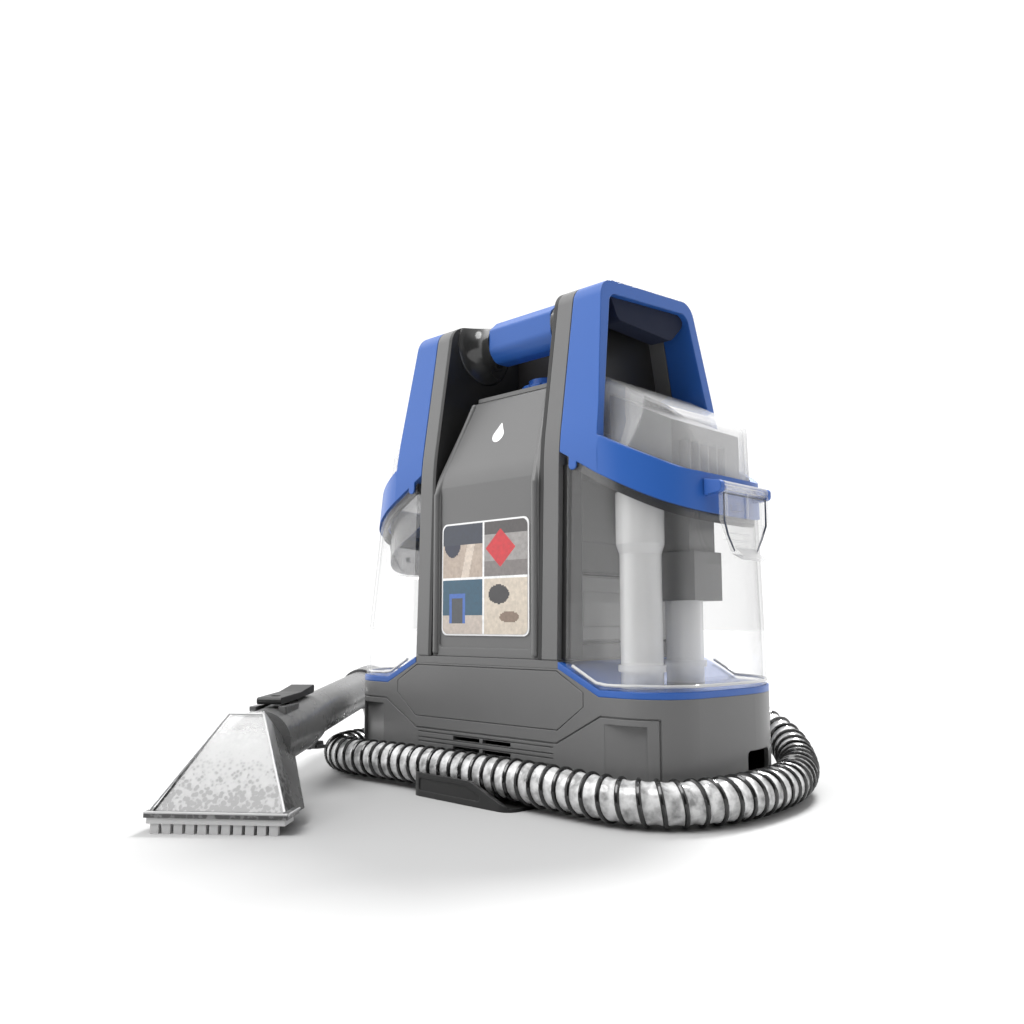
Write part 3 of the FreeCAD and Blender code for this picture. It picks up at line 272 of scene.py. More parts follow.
def make_looks():
    """Every look: moulded() takes roughness, grain, edge radius, coat and drift in that order."""
    return {
        "grey": moulded("grey_plastic", grey(103), 0.34, 0.06),
        "tool_grey": moulded("tool_grey_plastic", grey(98), 0.28),
        "dark": moulded("dark_plastic", grey(36), 0.38),
        # painted shade: near black, so that the hollow inside the column reads as deep shade
        "painted_hollow_shade": moulded("painted_shade_plastic", tone(20, 17, 17), 0.6),
        "gloss": moulded("gloss_plastic", grey(52), 0.16, 0.03, 0.0012, 0.5),
        "blue": moulded("blue_plastic", tone(43, 90, 166), 0.34, 0.02, 0.0012, 0.0, 0.03),
        "blue_grip": moulded("blue_grip", tone(10, 21, 46), 0.85, 0.3),
        # the second colour of each clear look is painted edge shade; on the dome it is kept
        # lighter, a painted highlight along its edges
        "clear": clear("clear_plastic", grey(240), grey(120), 0.006, 0.22, 0.03, 0.02,
                       shine=0.32),
        "pipe": clear("clear_pipe", grey(255), grey(170), 0.42, 0.85),
        "dome": clear("clear_dome", grey(250), grey(190), 0.13, 0.5, 0.03, 0.02),
        "smoke": clear("smoked_clear", grey(170), grey(80), 0.16, 0.7, 0.15, 0.03, grey(222)),
        "latch": clear("clear_latch", grey(236), grey(60), 0.05, 0.95),
        "window": foamy_window("wet_window"),
        "separator": moulded("separator_plastic", grey(108), 0.3, 0.02, 0.0008, 0.2),
        "seal": moulded("seal_rubber", grey(60), 0.6, 0.2, 0.0),
        "rubber": moulded("foot_rubber", grey(34), 0.8, 0.4, 0.0),
        "bristle": moulded("bristle_plastic", grey(200), 0.35, 0.05, 0.0),
        "tubing": moulded("tubing", grey(90), 0.35, 0.05, 0.0),
        "steel": metal("steel", grey(190), 0.3),
        "motor": metal("motor_metal", grey(150), 0.4),
        "board": moulded("board", tone(30, 92, 56), 0.4, 0.2, 0.0),
        "film": moulded("label_film", grey(235), 0.3, 0.02, 0.0003),
        "print": painted("label_print"),
        "white_ink": moulded("white_ink", grey(245), 0.45, 0.05, 0.0),
        "hose": hose_look(),
        "rib": moulded("hose_rib", grey(24), 0.18, 0.02, 0.0, 0.6),
        # opaque dark rims on clear latches: painted shade
        "edge": moulded("clear_edge_painted_shade", tone(34, 44, 66), 0.1, 0.02, 0.0, 0.5),
        "pale": moulded("pale_plastic", grey(160), 0.35, 0.02),
        "panel": moulded("panel_plastic", grey(98), 0.4, 0.02),
        "grime": moulded("grime_drops", grey(44), 0.12, 0.02, 0.0, 0.8, 0.5),
        # opaque pale beads on clear ridges: painted highlight
        "bead": moulded("clear_bead_painted_highlight", grey(190), 0.08, 0.02, 0.0, 0.8),
        "floor": floor_look(),
    }


def hose_look():
    """Thin smoked-clear hose skin: glossy and blotchy, with the far wall faint behind it. Its
    colour runs from the skin's grey to lighter streaks, which are painted reflections.
    """
    look, tree, shader = fresh("hose_skin")
    streak = noise(tree, 150.0, 4.0)
    blotch = noise(tree, 46.0, 2.0)
    # painted reflection: lighter streaks mixed into the skin colour
    tree.links.new(two_tone(tree, spread(tree, streak, 0.0, 1.0, 0.34, 0.62), grey(146),
                            grey(236)), shader.inputs["Base Color"])
    tree.links.new(spread(tree, edge_on(tree, 1.0), 0.78, 1.0), shader.inputs["Alpha"])
    tree.links.new(spread(tree, blotch, 0.06, 0.28, 0.35, 0.65), shader.inputs["Roughness"])
    shader.inputs["Coat Weight"].default_value = 1.0
    shader.inputs["Coat Roughness"].default_value = 0.06
    relief(tree, shader, blotch, 0.35, 0.002)
    return look


def floor_look():
    look, tree, shader = fresh("studio_floor")
    cloud = noise(tree, 3.0)
    tree.links.new(two_tone(tree, cloud, grey(171), grey(173)), shader.inputs["Base Color"])
    shader.inputs["Roughness"].default_value = 0.8
    shader.inputs["Specular IOR Level"].default_value = 0.0
    return look


# ---- mesh helpers ---------------------------------------------------------------------------
SMOOTH_ANGLE = 35
PLATE_ANGLE = 20
TUBE_SIDES = 8


def piece(name, verts, faces, look, body, slot, smooth=True, angle=SMOOTH_ANGLE):
    """A mesh that rides on a body. Edges sharper than the angle, in degrees, stay crisp."""
    mesh = bpy.data.meshes.new(name)
    mesh.from_pydata([tuple(vert) for vert in verts], [], faces)
    mesh.validate()
    mesh.materials.append(look)
    made = bpy.data.objects.new(name, mesh)
    bpy.context.scene.collection.objects.link(made)
    if smooth:
        mesh.shade_smooth()
        mesh.set_sharp_from_angle(angle=math.radians(angle))
    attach(made, body)
    return made


def polyline_frames(points):
    """Unit tangents and two crosswise directions carried along a line without twist."""
    tangents = []
    last = len(points) - 1
    for index in range(len(points)):
        step = points[min(index + 1, last)] - points[max(index - 1, 0)]
        tangents.append(step.normalized())
    side = tangents[0].orthogonal().normalized()
    frames = []
    for tangent in tangents:
        side = (side - tangent * side.dot(tangent)).normalized()
        frames.append((tangent, side, tangent.cross(side)))
    return frames


def around(side, up, angle):
    return side * math.cos(angle) + up * math.sin(angle)


def rings_joined(count, rings):
    """The quads between rings of that many points each, which follow one another."""
    faces = []
    for ring in range(rings - 1):
        for index in range(count):
            base = ring * count
            after = base + (index + 1) % count
            faces.append((base + index, after, after + count, base + index + count))
    return faces


def sweep(points, radii):
    """A closed tube of round rings, one at each point."""
    verts = []
    for centre, (_, side, up), radius in zip(points, polyline_frames(points), radii):
        for index in range(TUBE_SIDES):
            verts.append(centre + radius * around(side, up, math.tau * index / TUBE_SIDES))
    faces = rings_joined(TUBE_SIDES, len(points))
    faces.append(tuple(range(TUBE_SIDES))[::-1])
    faces.append(tuple(range(len(verts) - TUBE_SIDES, len(verts))))
    return verts, faces


def bead(points, radius):
    return sweep(points, [radius] * len(points))


def merge(parts):
    """Several (verts, faces) pairs as one."""
    verts = []
    faces = []
    for part_verts, part_faces in parts:
        start = len(verts)
        verts += list(part_verts)
        faces += [tuple(start + index for index in face) for face in part_faces]
    return verts, faces


# ---- hose -----------------------------------------------------------------------------------
HOSE_ROUTE = (
    (0.0620, 0.1130, 0.0380),
    (0.0900, 0.1130, 0.0380),
    (0.1160, 0.1030, 0.0290),
    (0.1360, 0.0820, 0.0195),
    (0.1525, 0.0530, 0.0145),
    (0.1645, 0.0100, 0.0132),
    (0.1635, -0.0600, 0.0132),
    (0.1340, -0.0955, 0.0134),
    (0.0800, -0.0946, 0.0150),
    (0.0160, -0.0936, 0.0156),
    (-0.0580, -0.0944, 0.0154),
    (-0.1330, -0.0960, 0.0134),
    (-0.1630, -0.0670, 0.0132),
    (-0.1660, -0.0080, 0.0132),
    (-0.1645, 0.0600, 0.0133),
    (-0.1580, 0.1280, 0.0132),
    (-0.1700, 0.1900, 0.0132),
    (-0.2140, 0.2360, 0.0132),
    (-0.2760, 0.2420, 0.0132),
    (-0.3260, 0.2060, 0.0132),
    (-0.3340, 0.1480, 0.0146),
    (-0.3060, 0.1050, 0.0170),
    (-0.2830, 0.0765, 0.0170),
)
HOSE_DIAMETER = 0.026
HOSE_PITCH = 0.0098
RIB_R = 0.00145
RIB_STEPS = 24
SKIN_STEPS = 8
SKIN_SIDES = 28
SKIN_SAG = 0.0007
LINE_STEPS = 40


def hose_line():
    """The points of the smooth spline that the hose lies along."""
    data = bpy.data.curves.new("hose_line", "CURVE")
    data.dimensions = "3D"
    spline = data.splines.new("NURBS")
    spline.points.add(len(HOSE_ROUTE) - 1)
    for point, place in zip(spline.points, HOSE_ROUTE):
        point.co = (*place, 1.0)
    spline.order_u = 3
    spline.use_endpoint_u = True
    spline.resolution_u = LINE_STEPS
    guide = bpy.data.objects.new("hose_line", data)
    bpy.context.scene.collection.objects.link(guide)
    bpy.context.view_layer.update()
    mesh = bpy.data.meshes.new_from_object(guide)
    points = [Vector(vert.co) for vert in mesh.vertices]
    bpy.data.meshes.remove(mesh)
    bpy.data.objects.remove(guide)
    return points


def resample(points, step):
    """Points at even steps along a line."""
    made = [points[0].copy()]
    carried = 0.0
    for start, end in zip(points, points[1:]):
        length = (end - start).length
        place = step - carried
        while place <= length:
            made.append(start.lerp(end, place / length))
            place += step
        carried = (carried + length) % step
    made.append(points[-1].copy())
    return made


def make_hose(looks):
    """A thin skin that sags between the turns of a helical rib, each turn one pitch long."""
    line = hose_line()
    rib_way = HOSE_DIAMETER / 2 - RIB_R
    even = resample(line, HOSE_PITCH / SKIN_STEPS)
    verts = []
    for index, (centre, (_, side, up)) in enumerate(zip(even, polyline_frames(even))):
        turn = index / SKIN_STEPS
        for step in range(SKIN_SIDES):
            share = step / SKIN_SIDES
            phase = (turn - share) % 1.0
            radius = rib_way - SKIN_SAG * math.sin(math.pi * phase) ** 2
            verts.append(centre + radius * around(side, up, math.tau * share))
    skin = piece("hose_skin", verts, rings_joined(SKIN_SIDES, len(even)),
                 looks["hose"], "root", "hose_plastic")

    fine = resample(line, HOSE_PITCH / RIB_STEPS)
    rib_line = []
    for index, (centre, (_, side, up)) in enumerate(zip(fine, polyline_frames(fine))):
        rib_line.append(centre + rib_way * around(side, up, math.tau * index / RIB_STEPS))
    rib = piece("hose_rib", *bead(rib_line, RIB_R), looks["rib"], "root", "hose_plastic")
    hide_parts("hose_tube")


# ---- CAD nodes --------------------------------------------------------------------------------
NODE_LOOKS = {
    "grey": ("bottom_cover base_housing name_panel column_collar side_frame_right side_frame_left "
             "column_fascia top_deck hose_port"),
    "tool_grey": "nozzle_body wand_tube wand_handle",
    "dark": ("side_wall_right side_wall_left hose_cradle cord_gland nozzle_release trigger "
             "hose_cuffs power_switch fan_housing"),
    # the rear cover takes the near-black painted-shade look
    "painted_hollow_shade": "column_rear_cover",
    "gloss": "grip_collars",
    "blue": "rim_seat_right rim_seat_left carry_grip power_button clean_handle dirty_handle",
    "blue_grip": "clean_grip_insert dirty_grip_insert",
    "clear": "clean_bottle dirty_bottle",
    "dome": "clean_dome dirty_dome",
    "latch": "clean_latch dirty_latch",
    "pipe": "inlet_standpipe suction_standpipe",
    "window": "nozzle_window",
    "separator": "dirty_separator dirty_float clean_valve",
    "seal": "clean_seal dirty_seal",
    "rubber": "rubber_feet motor_mounts",
    "bristle": "brush_strip spray_tip",
    "tubing": "base_ducts water_line",
    "steel": "trigger_pin motor_shaft housing_screws fan_impeller",
    "motor": "vacuum_motor water_pump",
    "board": "circuit_board",
    "film": "label_plate",
}


def dress_nodes(looks):
    """Gives every shown CAD node its one look."""
    for look, names in NODE_LOOKS.items():
        for name in names.split():
            mesh = NODES[name].data
            mesh.materials.clear()
            mesh.materials.append(looks[look])
            for polygon in mesh.polygons:
                polygon.material_index = 0


# ---- helpers that follow a CAD surface ---------------------------------------------------------
TOOL_X = -0.017
TOOL_Y = -0.253
TOOL_TURN = 38.91
RAY_START = 0.2


def surface(node):
    return BVHTree.FromObject(NODES[node], bpy.context.evaluated_depsgraph_get())


def draped(tree, points, towards, lift):
    """Points carried on to a surface along a direction, then lifted off it."""
    towards = Vector(towards).normalized()
    made = []
    for point in points:
        place = tree.ray_cast(Vector(point) - towards * RAY_START, towards)[0]
        made.append(place - towards * lift)
    return made


def tool_place(x, y, z):
    """A point in the hand tool's own frame (X along the lip, Y back along the tool), in metres."""
    turn = math.radians(TOOL_TURN)
    return Vector((TOOL_X + x * math.cos(turn) - y * math.sin(turn),
                   TOOL_Y + x * math.sin(turn) + y * math.cos(turn), z))


def tool_way(x, y, z):
    return tool_place(x, y, z) - tool_place(0, 0, 0)


# ---- label ------------------------------------------------------------------------------------
LABEL_GRID = 96
LABEL_GAP = 0.012
LABEL_BORDER = 0.0012
LABEL_CORNER_R = 0.0045
PRINT_LIFT = 0.00025


def inside(u, v, middle_u, middle_v, reach_u, reach_v):
    """Whether a point of a picture lies in an ellipse."""
    return ((u - middle_u) / reach_u) ** 2 + ((v - middle_v) / reach_v) ** 2 < 1.0


def panel_navy(u, v):
    """A dark machine shape behind a beige carpet with a cleaned stripe."""
    if v > 0.62:
        return tone(36, 44, 60)
    if inside(u, v, 0.24, 0.62, 0.20, 0.22):
        return tone(16, 26, 52)
    if abs(u - 0.62 - 0.25 * (v - 0.3)) < 0.09:
        return tone(206, 192, 178)
    return tone(176, 160, 146)


def panel_cushion(u, v):
    """A grey sofa with a red cushion."""
    if abs(u - 0.40) + abs(v - 0.52) < 0.34:
        return tone(196, 24, 38)
    if v < 0.30:
        return tone(118, 112, 110)
    return tone(150, 146, 144) if v < 0.78 else tone(70, 66, 66)


def panel_teal(u, v):
    """A blue machine shape against a teal wall, on a pale floor."""
    if abs(u - 0.36) < 0.20 and 0.18 < v < 0.72:
        if abs(u - 0.36) > 0.14 or v > 0.64:
            return tone(52, 98, 176)
        return tone(58, 62, 68)
    return tone(20, 74, 98) if v > 0.34 else tone(188, 176, 166)


def panel_spill(u, v):
    """A dark bowl and a spill on a beige carpet."""
    if inside(u, v, 0.36, 0.70, 0.24, 0.17):
        return tone(44, 42, 44)
    if inside(u, v, 0.60, 0.30, 0.22, 0.10):
        return tone(128, 108, 92)
    return tone(204, 192, 176)


def ink_at(u, v):
    """The colour at a place on the label, given as shares of its width and height."""
    if abs(u - 0.5) < LABEL_GAP or abs(v - 0.5) < LABEL_GAP:
        return grey(238)
    if v > 0.5:
        return panel_navy(u * 2, v * 2 - 1) if u < 0.5 else panel_cushion(u * 2 - 1, v * 2 - 1)
    return panel_teal(u * 2, v * 2) if u < 0.5 else panel_spill(u * 2 - 1, v * 2)


def make_label(looks):
    """A generic four-picture label, printed in the middle of the white film."""
    low, high = (Vector(corner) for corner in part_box("label_plate"))
    x0, x1 = low.x + LABEL_BORDER, high.x - LABEL_BORDER
    z0, z1 = low.z + LABEL_BORDER, high.z - LABEL_BORDER
    verts = []
    for row in range(LABEL_GRID + 1):
        for column in range(LABEL_GRID + 1):
            x = x0 + (x1 - x0) * column / LABEL_GRID
            z = z0 + (z1 - z0) * row / LABEL_GRID
            near_x = min(max(x, x0 + LABEL_CORNER_R), x1 - LABEL_CORNER_R)
            near_z = min(max(z, z0 + LABEL_CORNER_R), z1 - LABEL_CORNER_R)
            reach = math.hypot(x - near_x, z - near_z)
            if reach > LABEL_CORNER_R:
                x = near_x + (x - near_x) * LABEL_CORNER_R / reach
                z = near_z + (z - near_z) * LABEL_CORNER_R / reach
            verts.append((x, low.y - PRINT_LIFT, z))
    faces = []
    inks = []
    for row in range(LABEL_GRID):
        for column in range(LABEL_GRID):
            base = row * (LABEL_GRID + 1) + column
            faces.append((base, base + 1, base + LABEL_GRID + 2, base + LABEL_GRID + 1))
            inks.append(ink_at((column + 0.5) / LABEL_GRID, (row + 0.5) / LABEL_GRID))
    label = piece("label_print", verts, faces, looks["print"], "root", "label", smooth=False)
    colours = label.data.attributes.new("ink", "FLOAT_COLOR", "FACE")
    for item, ink in zip(colours.data, inks):
        item.color = ink


MARK_Z = 0.236
MARK_R = 0.0052
MARK_SIDES = 40
MARK_RINGS = 5
MARK_LIFT = 0.0002


def make_drop(looks):
    """A plain white drop on the slope above the label."""
    outline = []
    for index in range(MARK_SIDES):
        angle = math.tau * index / MARK_SIDES
        rise = max(0.0, math.sin(angle))
        outline.append((MARK_R * math.cos(angle) * (1 - 0.55 * rise ** 2),
                        MARK_R * (math.sin(angle) + 0.75 * rise ** 3)))
    points = [(0, 0, MARK_Z)]
    for ring in range(1, MARK_RINGS + 1):
        share = ring / MARK_RINGS
        points += [(x * share, 0, MARK_Z + z * share) for x, z in outline]
    faces = []
    for index in range(MARK_SIDES):
        after = (index + 1) % MARK_SIDES
        faces.append((0, 1 + index, 1 + after))
        for ring in range(MARK_RINGS - 1):
            inner = 1 + ring * MARK_SIDES
            outer = inner + MARK_SIDES
            faces.append((inner + index, outer + index, outer + after, inner + after))
    verts = draped(surface("column_fascia"), points, (0, 1, 0), MARK_LIFT)
    piece("drop_mark", verts, faces, looks["white_ink"], "root", "label")


# ---- column trim -----------------------------------------------------------------------------
def slab(outline, x0, x1, edge):
    """A plate from x0 to x1 with the given (y, z) outline and a chamfered edge at x1."""
    count = len(outline)
    middle_y = sum(y for y, _ in outline) / count
    middle_z = sum(z for _, z in outline) / count

    def drawn_in(y, z):
        return (y + math.copysign(edge, middle_y - y), z + math.copysign(edge, middle_z - z))

    step = math.copysign(edge, x1 - x0)
    rings = [[(x0, y, z) for y, z in outline], [(x1 - step, y, z) for y, z in outline],
             [(x1, *drawn_in(y, z)) for y, z in outline]]
    verts = [point for ring in rings for point in ring]
    faces = [tuple(range(count))[::-1], tuple(range(2 * count, 3 * count))]
    return verts, faces + rings_joined(count, len(rings))


def make_column_trim(looks):
    """What shows through the tanks: side panels in the frames, each with a raised field, and dark
    strips beside them, between each frame and its bottle. Outlines are (y, z), and depths are
    distances from the middle."""
    upper = [(-0.0660, 0.140), (-0.0645, 0.218), (0.0560, 0.218), (0.0625, 0.186), (0.0655, 0.140)]
    lower = [(-0.0680, 0.097), (-0.0662, 0.1385), (0.0657, 0.1385), (0.0670, 0.097)]
    window = [(-0.050, 0.160), (-0.050, 0.200), (0.030, 0.200), (0.030, 0.160)]
    pad = [(-0.052, 0.106), (-0.052, 0.128), (-0.012, 0.128), (-0.012, 0.106)]
    dark_strip = [(-0.0750, 0.0868), (-0.0722, 0.206), (-0.0600, 0.206), (-0.0600, 0.0868)]
    for side, sign in (("right", 1), ("left", -1)):
        upper_panel = merge([slab(upper, sign * 0.0531, sign * 0.0610, 0.0012),
                             slab(window, sign * 0.0609, sign * 0.0622, 0.0006)])
        piece("side_panel_upper_" + side, *upper_panel, looks["panel"], "root", "grey_plastic",
              angle=PLATE_ANGLE)
        lower_panel = merge([slab(lower, sign * 0.0531, sign * 0.0632, 0.0012),
                             slab(pad, sign * 0.0631, sign * 0.0642, 0.0006)])
        piece("side_panel_lower_" + side, *lower_panel, looks["pale"], "root", "grey_plastic",
              angle=PLATE_ANGLE)
        piece("tank_rail_" + side, *slab(dark_strip, sign * 0.0656, sign * 0.0708, 0.0008),
              looks["dark"], "root", "dark_plastic", angle=PLATE_ANGLE)


COLLAR_HEIGHT = 1.3 * MM
COLLAR_WIDTH = 1 * MM


def make_button_ring(looks):
    """Makes the collar of the deck, which the power button stands in, pale."""
    deck = NODES["top_deck"].data
    deck.materials.append(looks["pale"])
    low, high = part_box("power_button")
    middle_x = (low[0] + high[0]) / 2
    middle_y = (low[1] + high[1]) / 2
    reach = (high[0] - low[0]) / 2 + COLLAR_WIDTH
    deck_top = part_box("top_deck")[1][2] - COLLAR_HEIGHT
    for polygon in deck.polygons:
        centre = polygon.center
        if centre.z > deck_top and math.hypot(centre.x - middle_x, centre.y - middle_y) < reach:
            polygon.material_index = 1


# ---- tanks -----------------------------------------------------------------------------------
OUTLINE_START = (0.0760, -0.0745)
OUTLINE_ARCS = ((0.095, -0.0245, 0.050, -90, 0), (0.073, 0.0035, 0.0715, 0, 87))
ARC_STEPS = 12
BAND_KNOTS = ((0.065, 0.2145), (0.094, 0.198), (0.123, 0.183), (0.132, 0.1785), (0.152, 0.170))
SMOKY_BAND_OUTER = 0.0066
SMOKY_BAND_INNER = 0.0078
SMOKY_BAND_DROP = 0.030
FOOT_CLEAR = 0.008
FOOT_Z = 0.0729
FOOT_SLOPE = 0.4843
FOOT_KNEE = 0.097
FOOT_MIDDLE = 0.085
FOOT_R = 0.001


def tank_outline(inset):
    """A line round the inside of a tank, from the column's front edge to its rear edge."""
    points = [(OUTLINE_START[0], OUTLINE_START[1] + inset)]
    for centre_x, centre_y, radius, start, end in OUTLINE_ARCS:
        for step in range(ARC_STEPS + 1):
            angle = math.radians(start + (end - start) * step / ARC_STEPS)
            points.append((centre_x + (radius - inset) * math.cos(angle),
                           centre_y + (radius - inset) * math.sin(angle)))
    return points


def band_height(x):
    """The underside of the blue band at a distance from the middle of the machine."""
    for (x0, z0), (x1, z1) in zip(BAND_KNOTS, BAND_KNOTS[1:]):
        if x <= x1:
            return z0 + (z1 - z0) * (x - x0) / (x1 - x0)
    return BAND_KNOTS[-1][1]


def make_smoky_band(looks):
    """A smoky band that hangs from the clean tank's lid into its bottle, which greys the top of the
    tank.
    """
    outer = tank_outline(SMOKY_BAND_OUTER)
    verts = []
    for x, y in outer:
        top = band_height(x) + MM
        verts += [(-x, y, top - SMOKY_BAND_DROP), (-x, y, top)]
    for x, y in tank_outline(SMOKY_BAND_INNER):
        top = band_height(x) + MM
        verts += [(-x, y, top), (-x, y, top - SMOKY_BAND_DROP)]
    count = len(outer)
    faces = []
    for index in range(count - 1):
        a = 2 * index
        b = 2 * count + a
        faces += [(a, a + 1, a + 3, a + 2), (b, b + 1, b + 3, b + 2), (a + 1, b, b + 2, a + 3),
                  (b + 1, a, a + 2, b + 3)]
    a = 2 * (count - 1)
    b = 2 * count + a
    faces += [(0, 2 * count + 1, 2 * count, 1), (a, a + 1, b, b + 1)]
    piece("clean_smoky_band", verts, faces, looks["smoke"], "clean_lid", "clear_plastic")


def make_tank_feet(looks):
    """The thick flange at the foot of each bottle, a real ridge drawn as an opaque pale bead: a
    painted highlight for the bright line it shows over the seat.
    """
    for side, sign in (("dirty", 1), ("clean", -1)):
        bottle = surface(side + "_bottle")
        line = []
        for x, y in tank_outline(-FOOT_CLEAR):
            height = FOOT_Z + FOOT_SLOPE * max(0.0, FOOT_KNEE - x)
            start = Vector((sign * x, y, height))
            inward = (Vector((sign * FOOT_MIDDLE, 0.0, height)) - start).normalized()
            line.append(bottle.ray_cast(start, inward)[0])
        piece(side + "_bottle_foot", *bead(line, FOOT_R), looks["bead"], side + "_tank",
              "clear_plastic")


LATCH_FACE = 0.15465
LATCH_INSET = 0.0006
LATCH_TAPER = 0.0115
LATCH_TOP = 0.184
LATCH_LEG_R = (0.0005, 0.0006, 0.0006, 0.0004)


def make_latch_edges(looks):
    """The thick moulded rim of each clear latch, drawn opaque and dark: painted shade for the dark
    line it shows.
    """
    for side, sign in (("dirty", 1), ("clean", -1)):
        low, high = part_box(side + "_latch")
        y0, y1 = low[1] + LATCH_INSET, high[1] - LATCH_INSET
        face_x = sign * LATCH_FACE
        foot_x = face_x - sign * LATCH_INSET
        bars = []
        for y, taper in ((y0, LATCH_TAPER), (y1, -LATCH_TAPER)):
            leg = [Vector((face_x, y, LATCH_TOP)), Vector((face_x, y, 0.168)),
                   Vector((foot_x, y + 0.4 * taper, 0.1595)), Vector((foot_x, y + taper, 0.1505))]
            bars.append(sweep(leg, LATCH_LEG_R))
        top = [Vector((face_x, y, LATCH_TOP)) for y in (y0, y1)]
        bars.append(bead(top, LATCH_LEG_R[0]))
        piece(side + "_latch_rim", *merge(bars), looks["edge"], side + "_latch", "clear_plastic")


# ---- nozzle ----------------------------------------------------------------------------------
WINDOW_CORNERS = ((-0.0362, 0.0006, 0.0112), (-0.0100, 0.0372, 0.0572),
                  (0.0100, 0.0372, 0.0572), (0.0362, 0.0006, 0.0112))
WINDOW_BEAD_R = 0.00075
WINDOW_BEAD_LIFT = 0.0004
BEAD_STEPS = 10
LIP_R = 0.0007
LIP_Z = 0.0106
DROPS = 2600
DROP_SIDES = 7
DROP_RINGS = ((0.7, 0.42), (1.0, 0.0))
DROP_TOP = 0.6
DROP_SIZES = (0.0003, 0.0010)
DROP_WAVE = 420.0
DROP_RAY = 0.03
DROP_REACH = 0.012
WINDOW_WALL = 0.0023


def make_window_trim(looks):
    """The bead round the window and the step along its lip: real ridges of clear plastic, drawn
    opaque and pale as a painted highlight.
    """
    corners = [tool_place(*corner) for corner in WINDOW_CORNERS]
    outward = tool_way(0, -0.55, 0.85).normalized() * WINDOW_BEAD_LIFT
    beads = []
    for start, end in zip(corners, corners[1:]):
        points = [start.lerp(end, step / BEAD_STEPS) + outward for step in range(BEAD_STEPS + 1)]
        beads.append(bead(points, WINDOW_BEAD_R))
    front = [tool_place(x, -0.0011, LIP_Z) for x in (-0.0384, -0.02, 0.0, 0.02, 0.0384)]
    beads.append(bead(front, LIP_R))
    end = [tool_place(0.0388, y, LIP_Z) for y in (-0.0012, 0.008, 0.0165)]
    beads.append(bead(end, LIP_R))
    piece("window_bead", *merge(beads), looks["bead"], "nozzle", "clear_plastic")


def flat_drop(centre, normal, size):
    """A drop on a surface, which rises against the normal."""
    side = normal.orthogonal().normalized()
    up = normal.cross(side)
    verts = [centre - normal * size * DROP_TOP]
    for radius, depth in DROP_RINGS:
        for index in range(DROP_SIDES):
            verts.append(centre - normal * size * depth
                         + size * radius * around(side, up, math.tau * index / DROP_SIDES))
    faces = []
    for index in range(DROP_SIDES):
        after = (index + 1) % DROP_SIDES
        faces.append((0, 1 + index, 1 + after))
        faces.append((1 + index, 1 + DROP_SIDES + index, 1 + DROP_SIDES + after, 1 + after))
    return verts, faces


def make_drops(looks):
    """Flattened drops that cling to the inside of the window in streaks, crowded to the lip."""
    tree = surface("nozzle_window")
    chance = random.Random(7)
    towards = tool_way(0, 0.80, -0.60).normalized()
    drops = []
    for _ in range(DROPS):
        height = 0.012 + 0.030 * chance.random() ** 1.6
        share = (height - 0.008) / 0.051
        half = 0.035 - 0.026 * share
        x = chance.uniform(-half, half)
        streak = math.sin(x * DROP_WAVE + 2.0 * math.sin(height * DROP_WAVE))
        if chance.random() > 0.45 + 0.55 * streak:
            continue
        target = tool_place(x, 0.037 * share, height)
        place, normal, _, _ = tree.ray_cast(target - towards * DROP_RAY, towards)
        if place is None or (place - target).length > DROP_REACH:
            continue
        normal = normal if normal.dot(towards) < 0 else -normal
        drops.append(flat_drop(place - normal * WINDOW_WALL, normal, chance.uniform(*DROP_SIZES)))
    piece("window_drops", *merge(drops), looks["grime"], "nozzle", "clear_plastic")


# ---- lights and floor --------------------------------------------------------------------------
SEEN_WHITE = 1.12
OVERHEAD = 0.8
LEFT_BANK = 1.6
RIGHT_BANK = 0.6
BACK_BANK = 0.6
AMBIENT = 0.22
FRONT_SHADE = 0.02
FLOOR_HALF = 12.0


def distant_light(name, towards, width, strength):
    """A wide, far softbox: an even light over the whole floor, as wide as the given degrees."""
    data = bpy.data.lights.new(name, "SUN")
    data.energy = strength
    data.angle = math.radians(width)
    light = bpy.data.objects.new(name, data)
    bpy.context.scene.collection.objects.link(light)
    light.location = towards
    light.rotation_mode = "QUATERNION"
    light.rotation_quaternion = (-Vector(towards)).to_track_quat("-Z", "Y")


def glow(tree, towards, low, high, start, end):
    """Studio light that goes from low to high as a direction turns from start to end,
    given as the share of it that points towards a place."""
    place = tree.nodes.new("ShaderNodeTexCoord")
    share = tree.nodes.new("ShaderNodeVectorMath")
    share.operation = "DOT_PRODUCT"
    tree.links.new(place.outputs["Generated"], share.inputs[0])
    share.inputs[1].default_value = Vector(towards).normalized()
    return spread(tree, share.outputs["Value"], low, high, start, end, "SMOOTHSTEP")


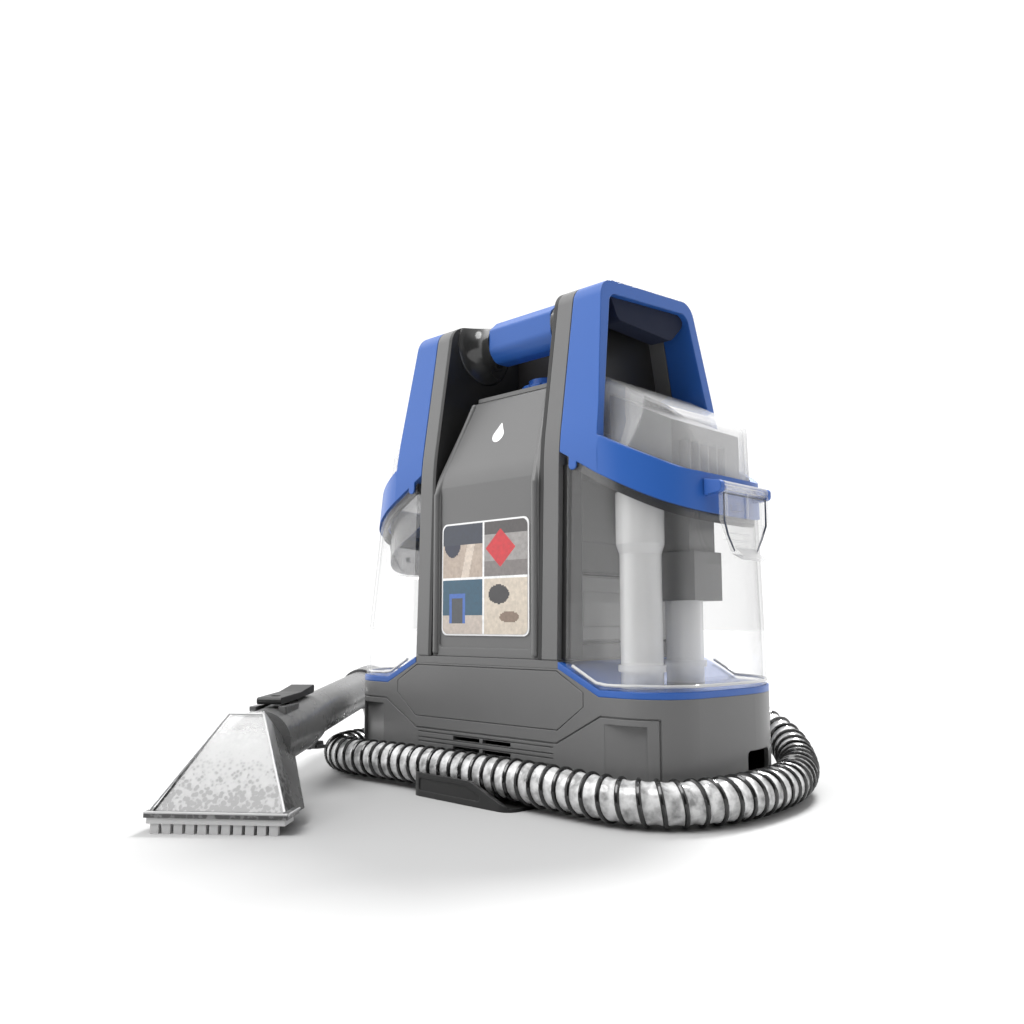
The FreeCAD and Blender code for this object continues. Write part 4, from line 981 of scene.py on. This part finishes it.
def make_studio(looks):
    """A white sweep lit from overhead, with softer banks of light left, behind and right."""
    world = bpy.data.worlds.new("studio")
    bpy.context.scene.world = world
    world.use_nodes = True
    tree = world.node_tree
    banks = [glow(tree, (0, 0, 1), 0.0, OVERHEAD, 0.45, 0.80),
             glow(tree, (-0.84, -0.52, 0.15), 0.0, LEFT_BANK, 0.50, 0.95),
             glow(tree, (0.75, 0.66, 0.10), 0.0, RIGHT_BANK, 0.60, 0.95),
             glow(tree, (-0.66, 0.75, 0.10), 0.0, BACK_BANK, 0.10, 0.90)]
    total = glow(tree, (0.66, -0.75, -0.10), AMBIENT, FRONT_SHADE, 0.20, 0.85)
    for bank in banks:
        total = calculated(tree, "ADD", total, bank)
    lit = add(tree, "ShaderNodeBackground", Color=(1, 1, 1, 1), Strength=total)
    seen = add(tree, "ShaderNodeBackground", Color=(1, 1, 1, 1), Strength=SEEN_WHITE)
    path = tree.nodes.new("ShaderNodeLightPath")
    mixed = mixed_shader(tree, path.outputs["Is Camera Ray"],
                         lit.outputs["Background"], seen.outputs["Background"])
    tree.links.new(mixed.outputs["Shader"], tree.nodes["World Output"].inputs["Surface"])

    distant_light("key", (-0.10, -0.42, 0.90), 40, 2.4)
    distant_light("rim", (-0.15, 0.62, 0.77), 18, 5.6)

    mesh = bpy.data.meshes.new("floor")
    corners = [(x * FLOOR_HALF, y * FLOOR_HALF, 0) for x, y in ((-1, -1), (1, -1), (1, 1), (-1, 1))]
    mesh.from_pydata(corners, [], [(0, 1, 2, 3)])
    mesh.materials.append(looks["floor"])
    floor = bpy.data.objects.new("floor", mesh)
    bpy.context.scene.collection.objects.link(floor)
    bpy.context.scene.view_settings.view_transform = "Standard"
    bpy.context.scene.view_settings.look = "None"


make_camera()
LOOKS = make_looks()
make_hose(LOOKS)
dress_nodes(LOOKS)
make_label(LOOKS)
make_drop(LOOKS)
make_column_trim(LOOKS)
make_button_ring(LOOKS)
make_smoky_band(LOOKS)
make_tank_feet(LOOKS)
make_latch_edges(LOOKS)
make_window_trim(LOOKS)
make_drops(LOOKS)
make_studio(LOOKS)
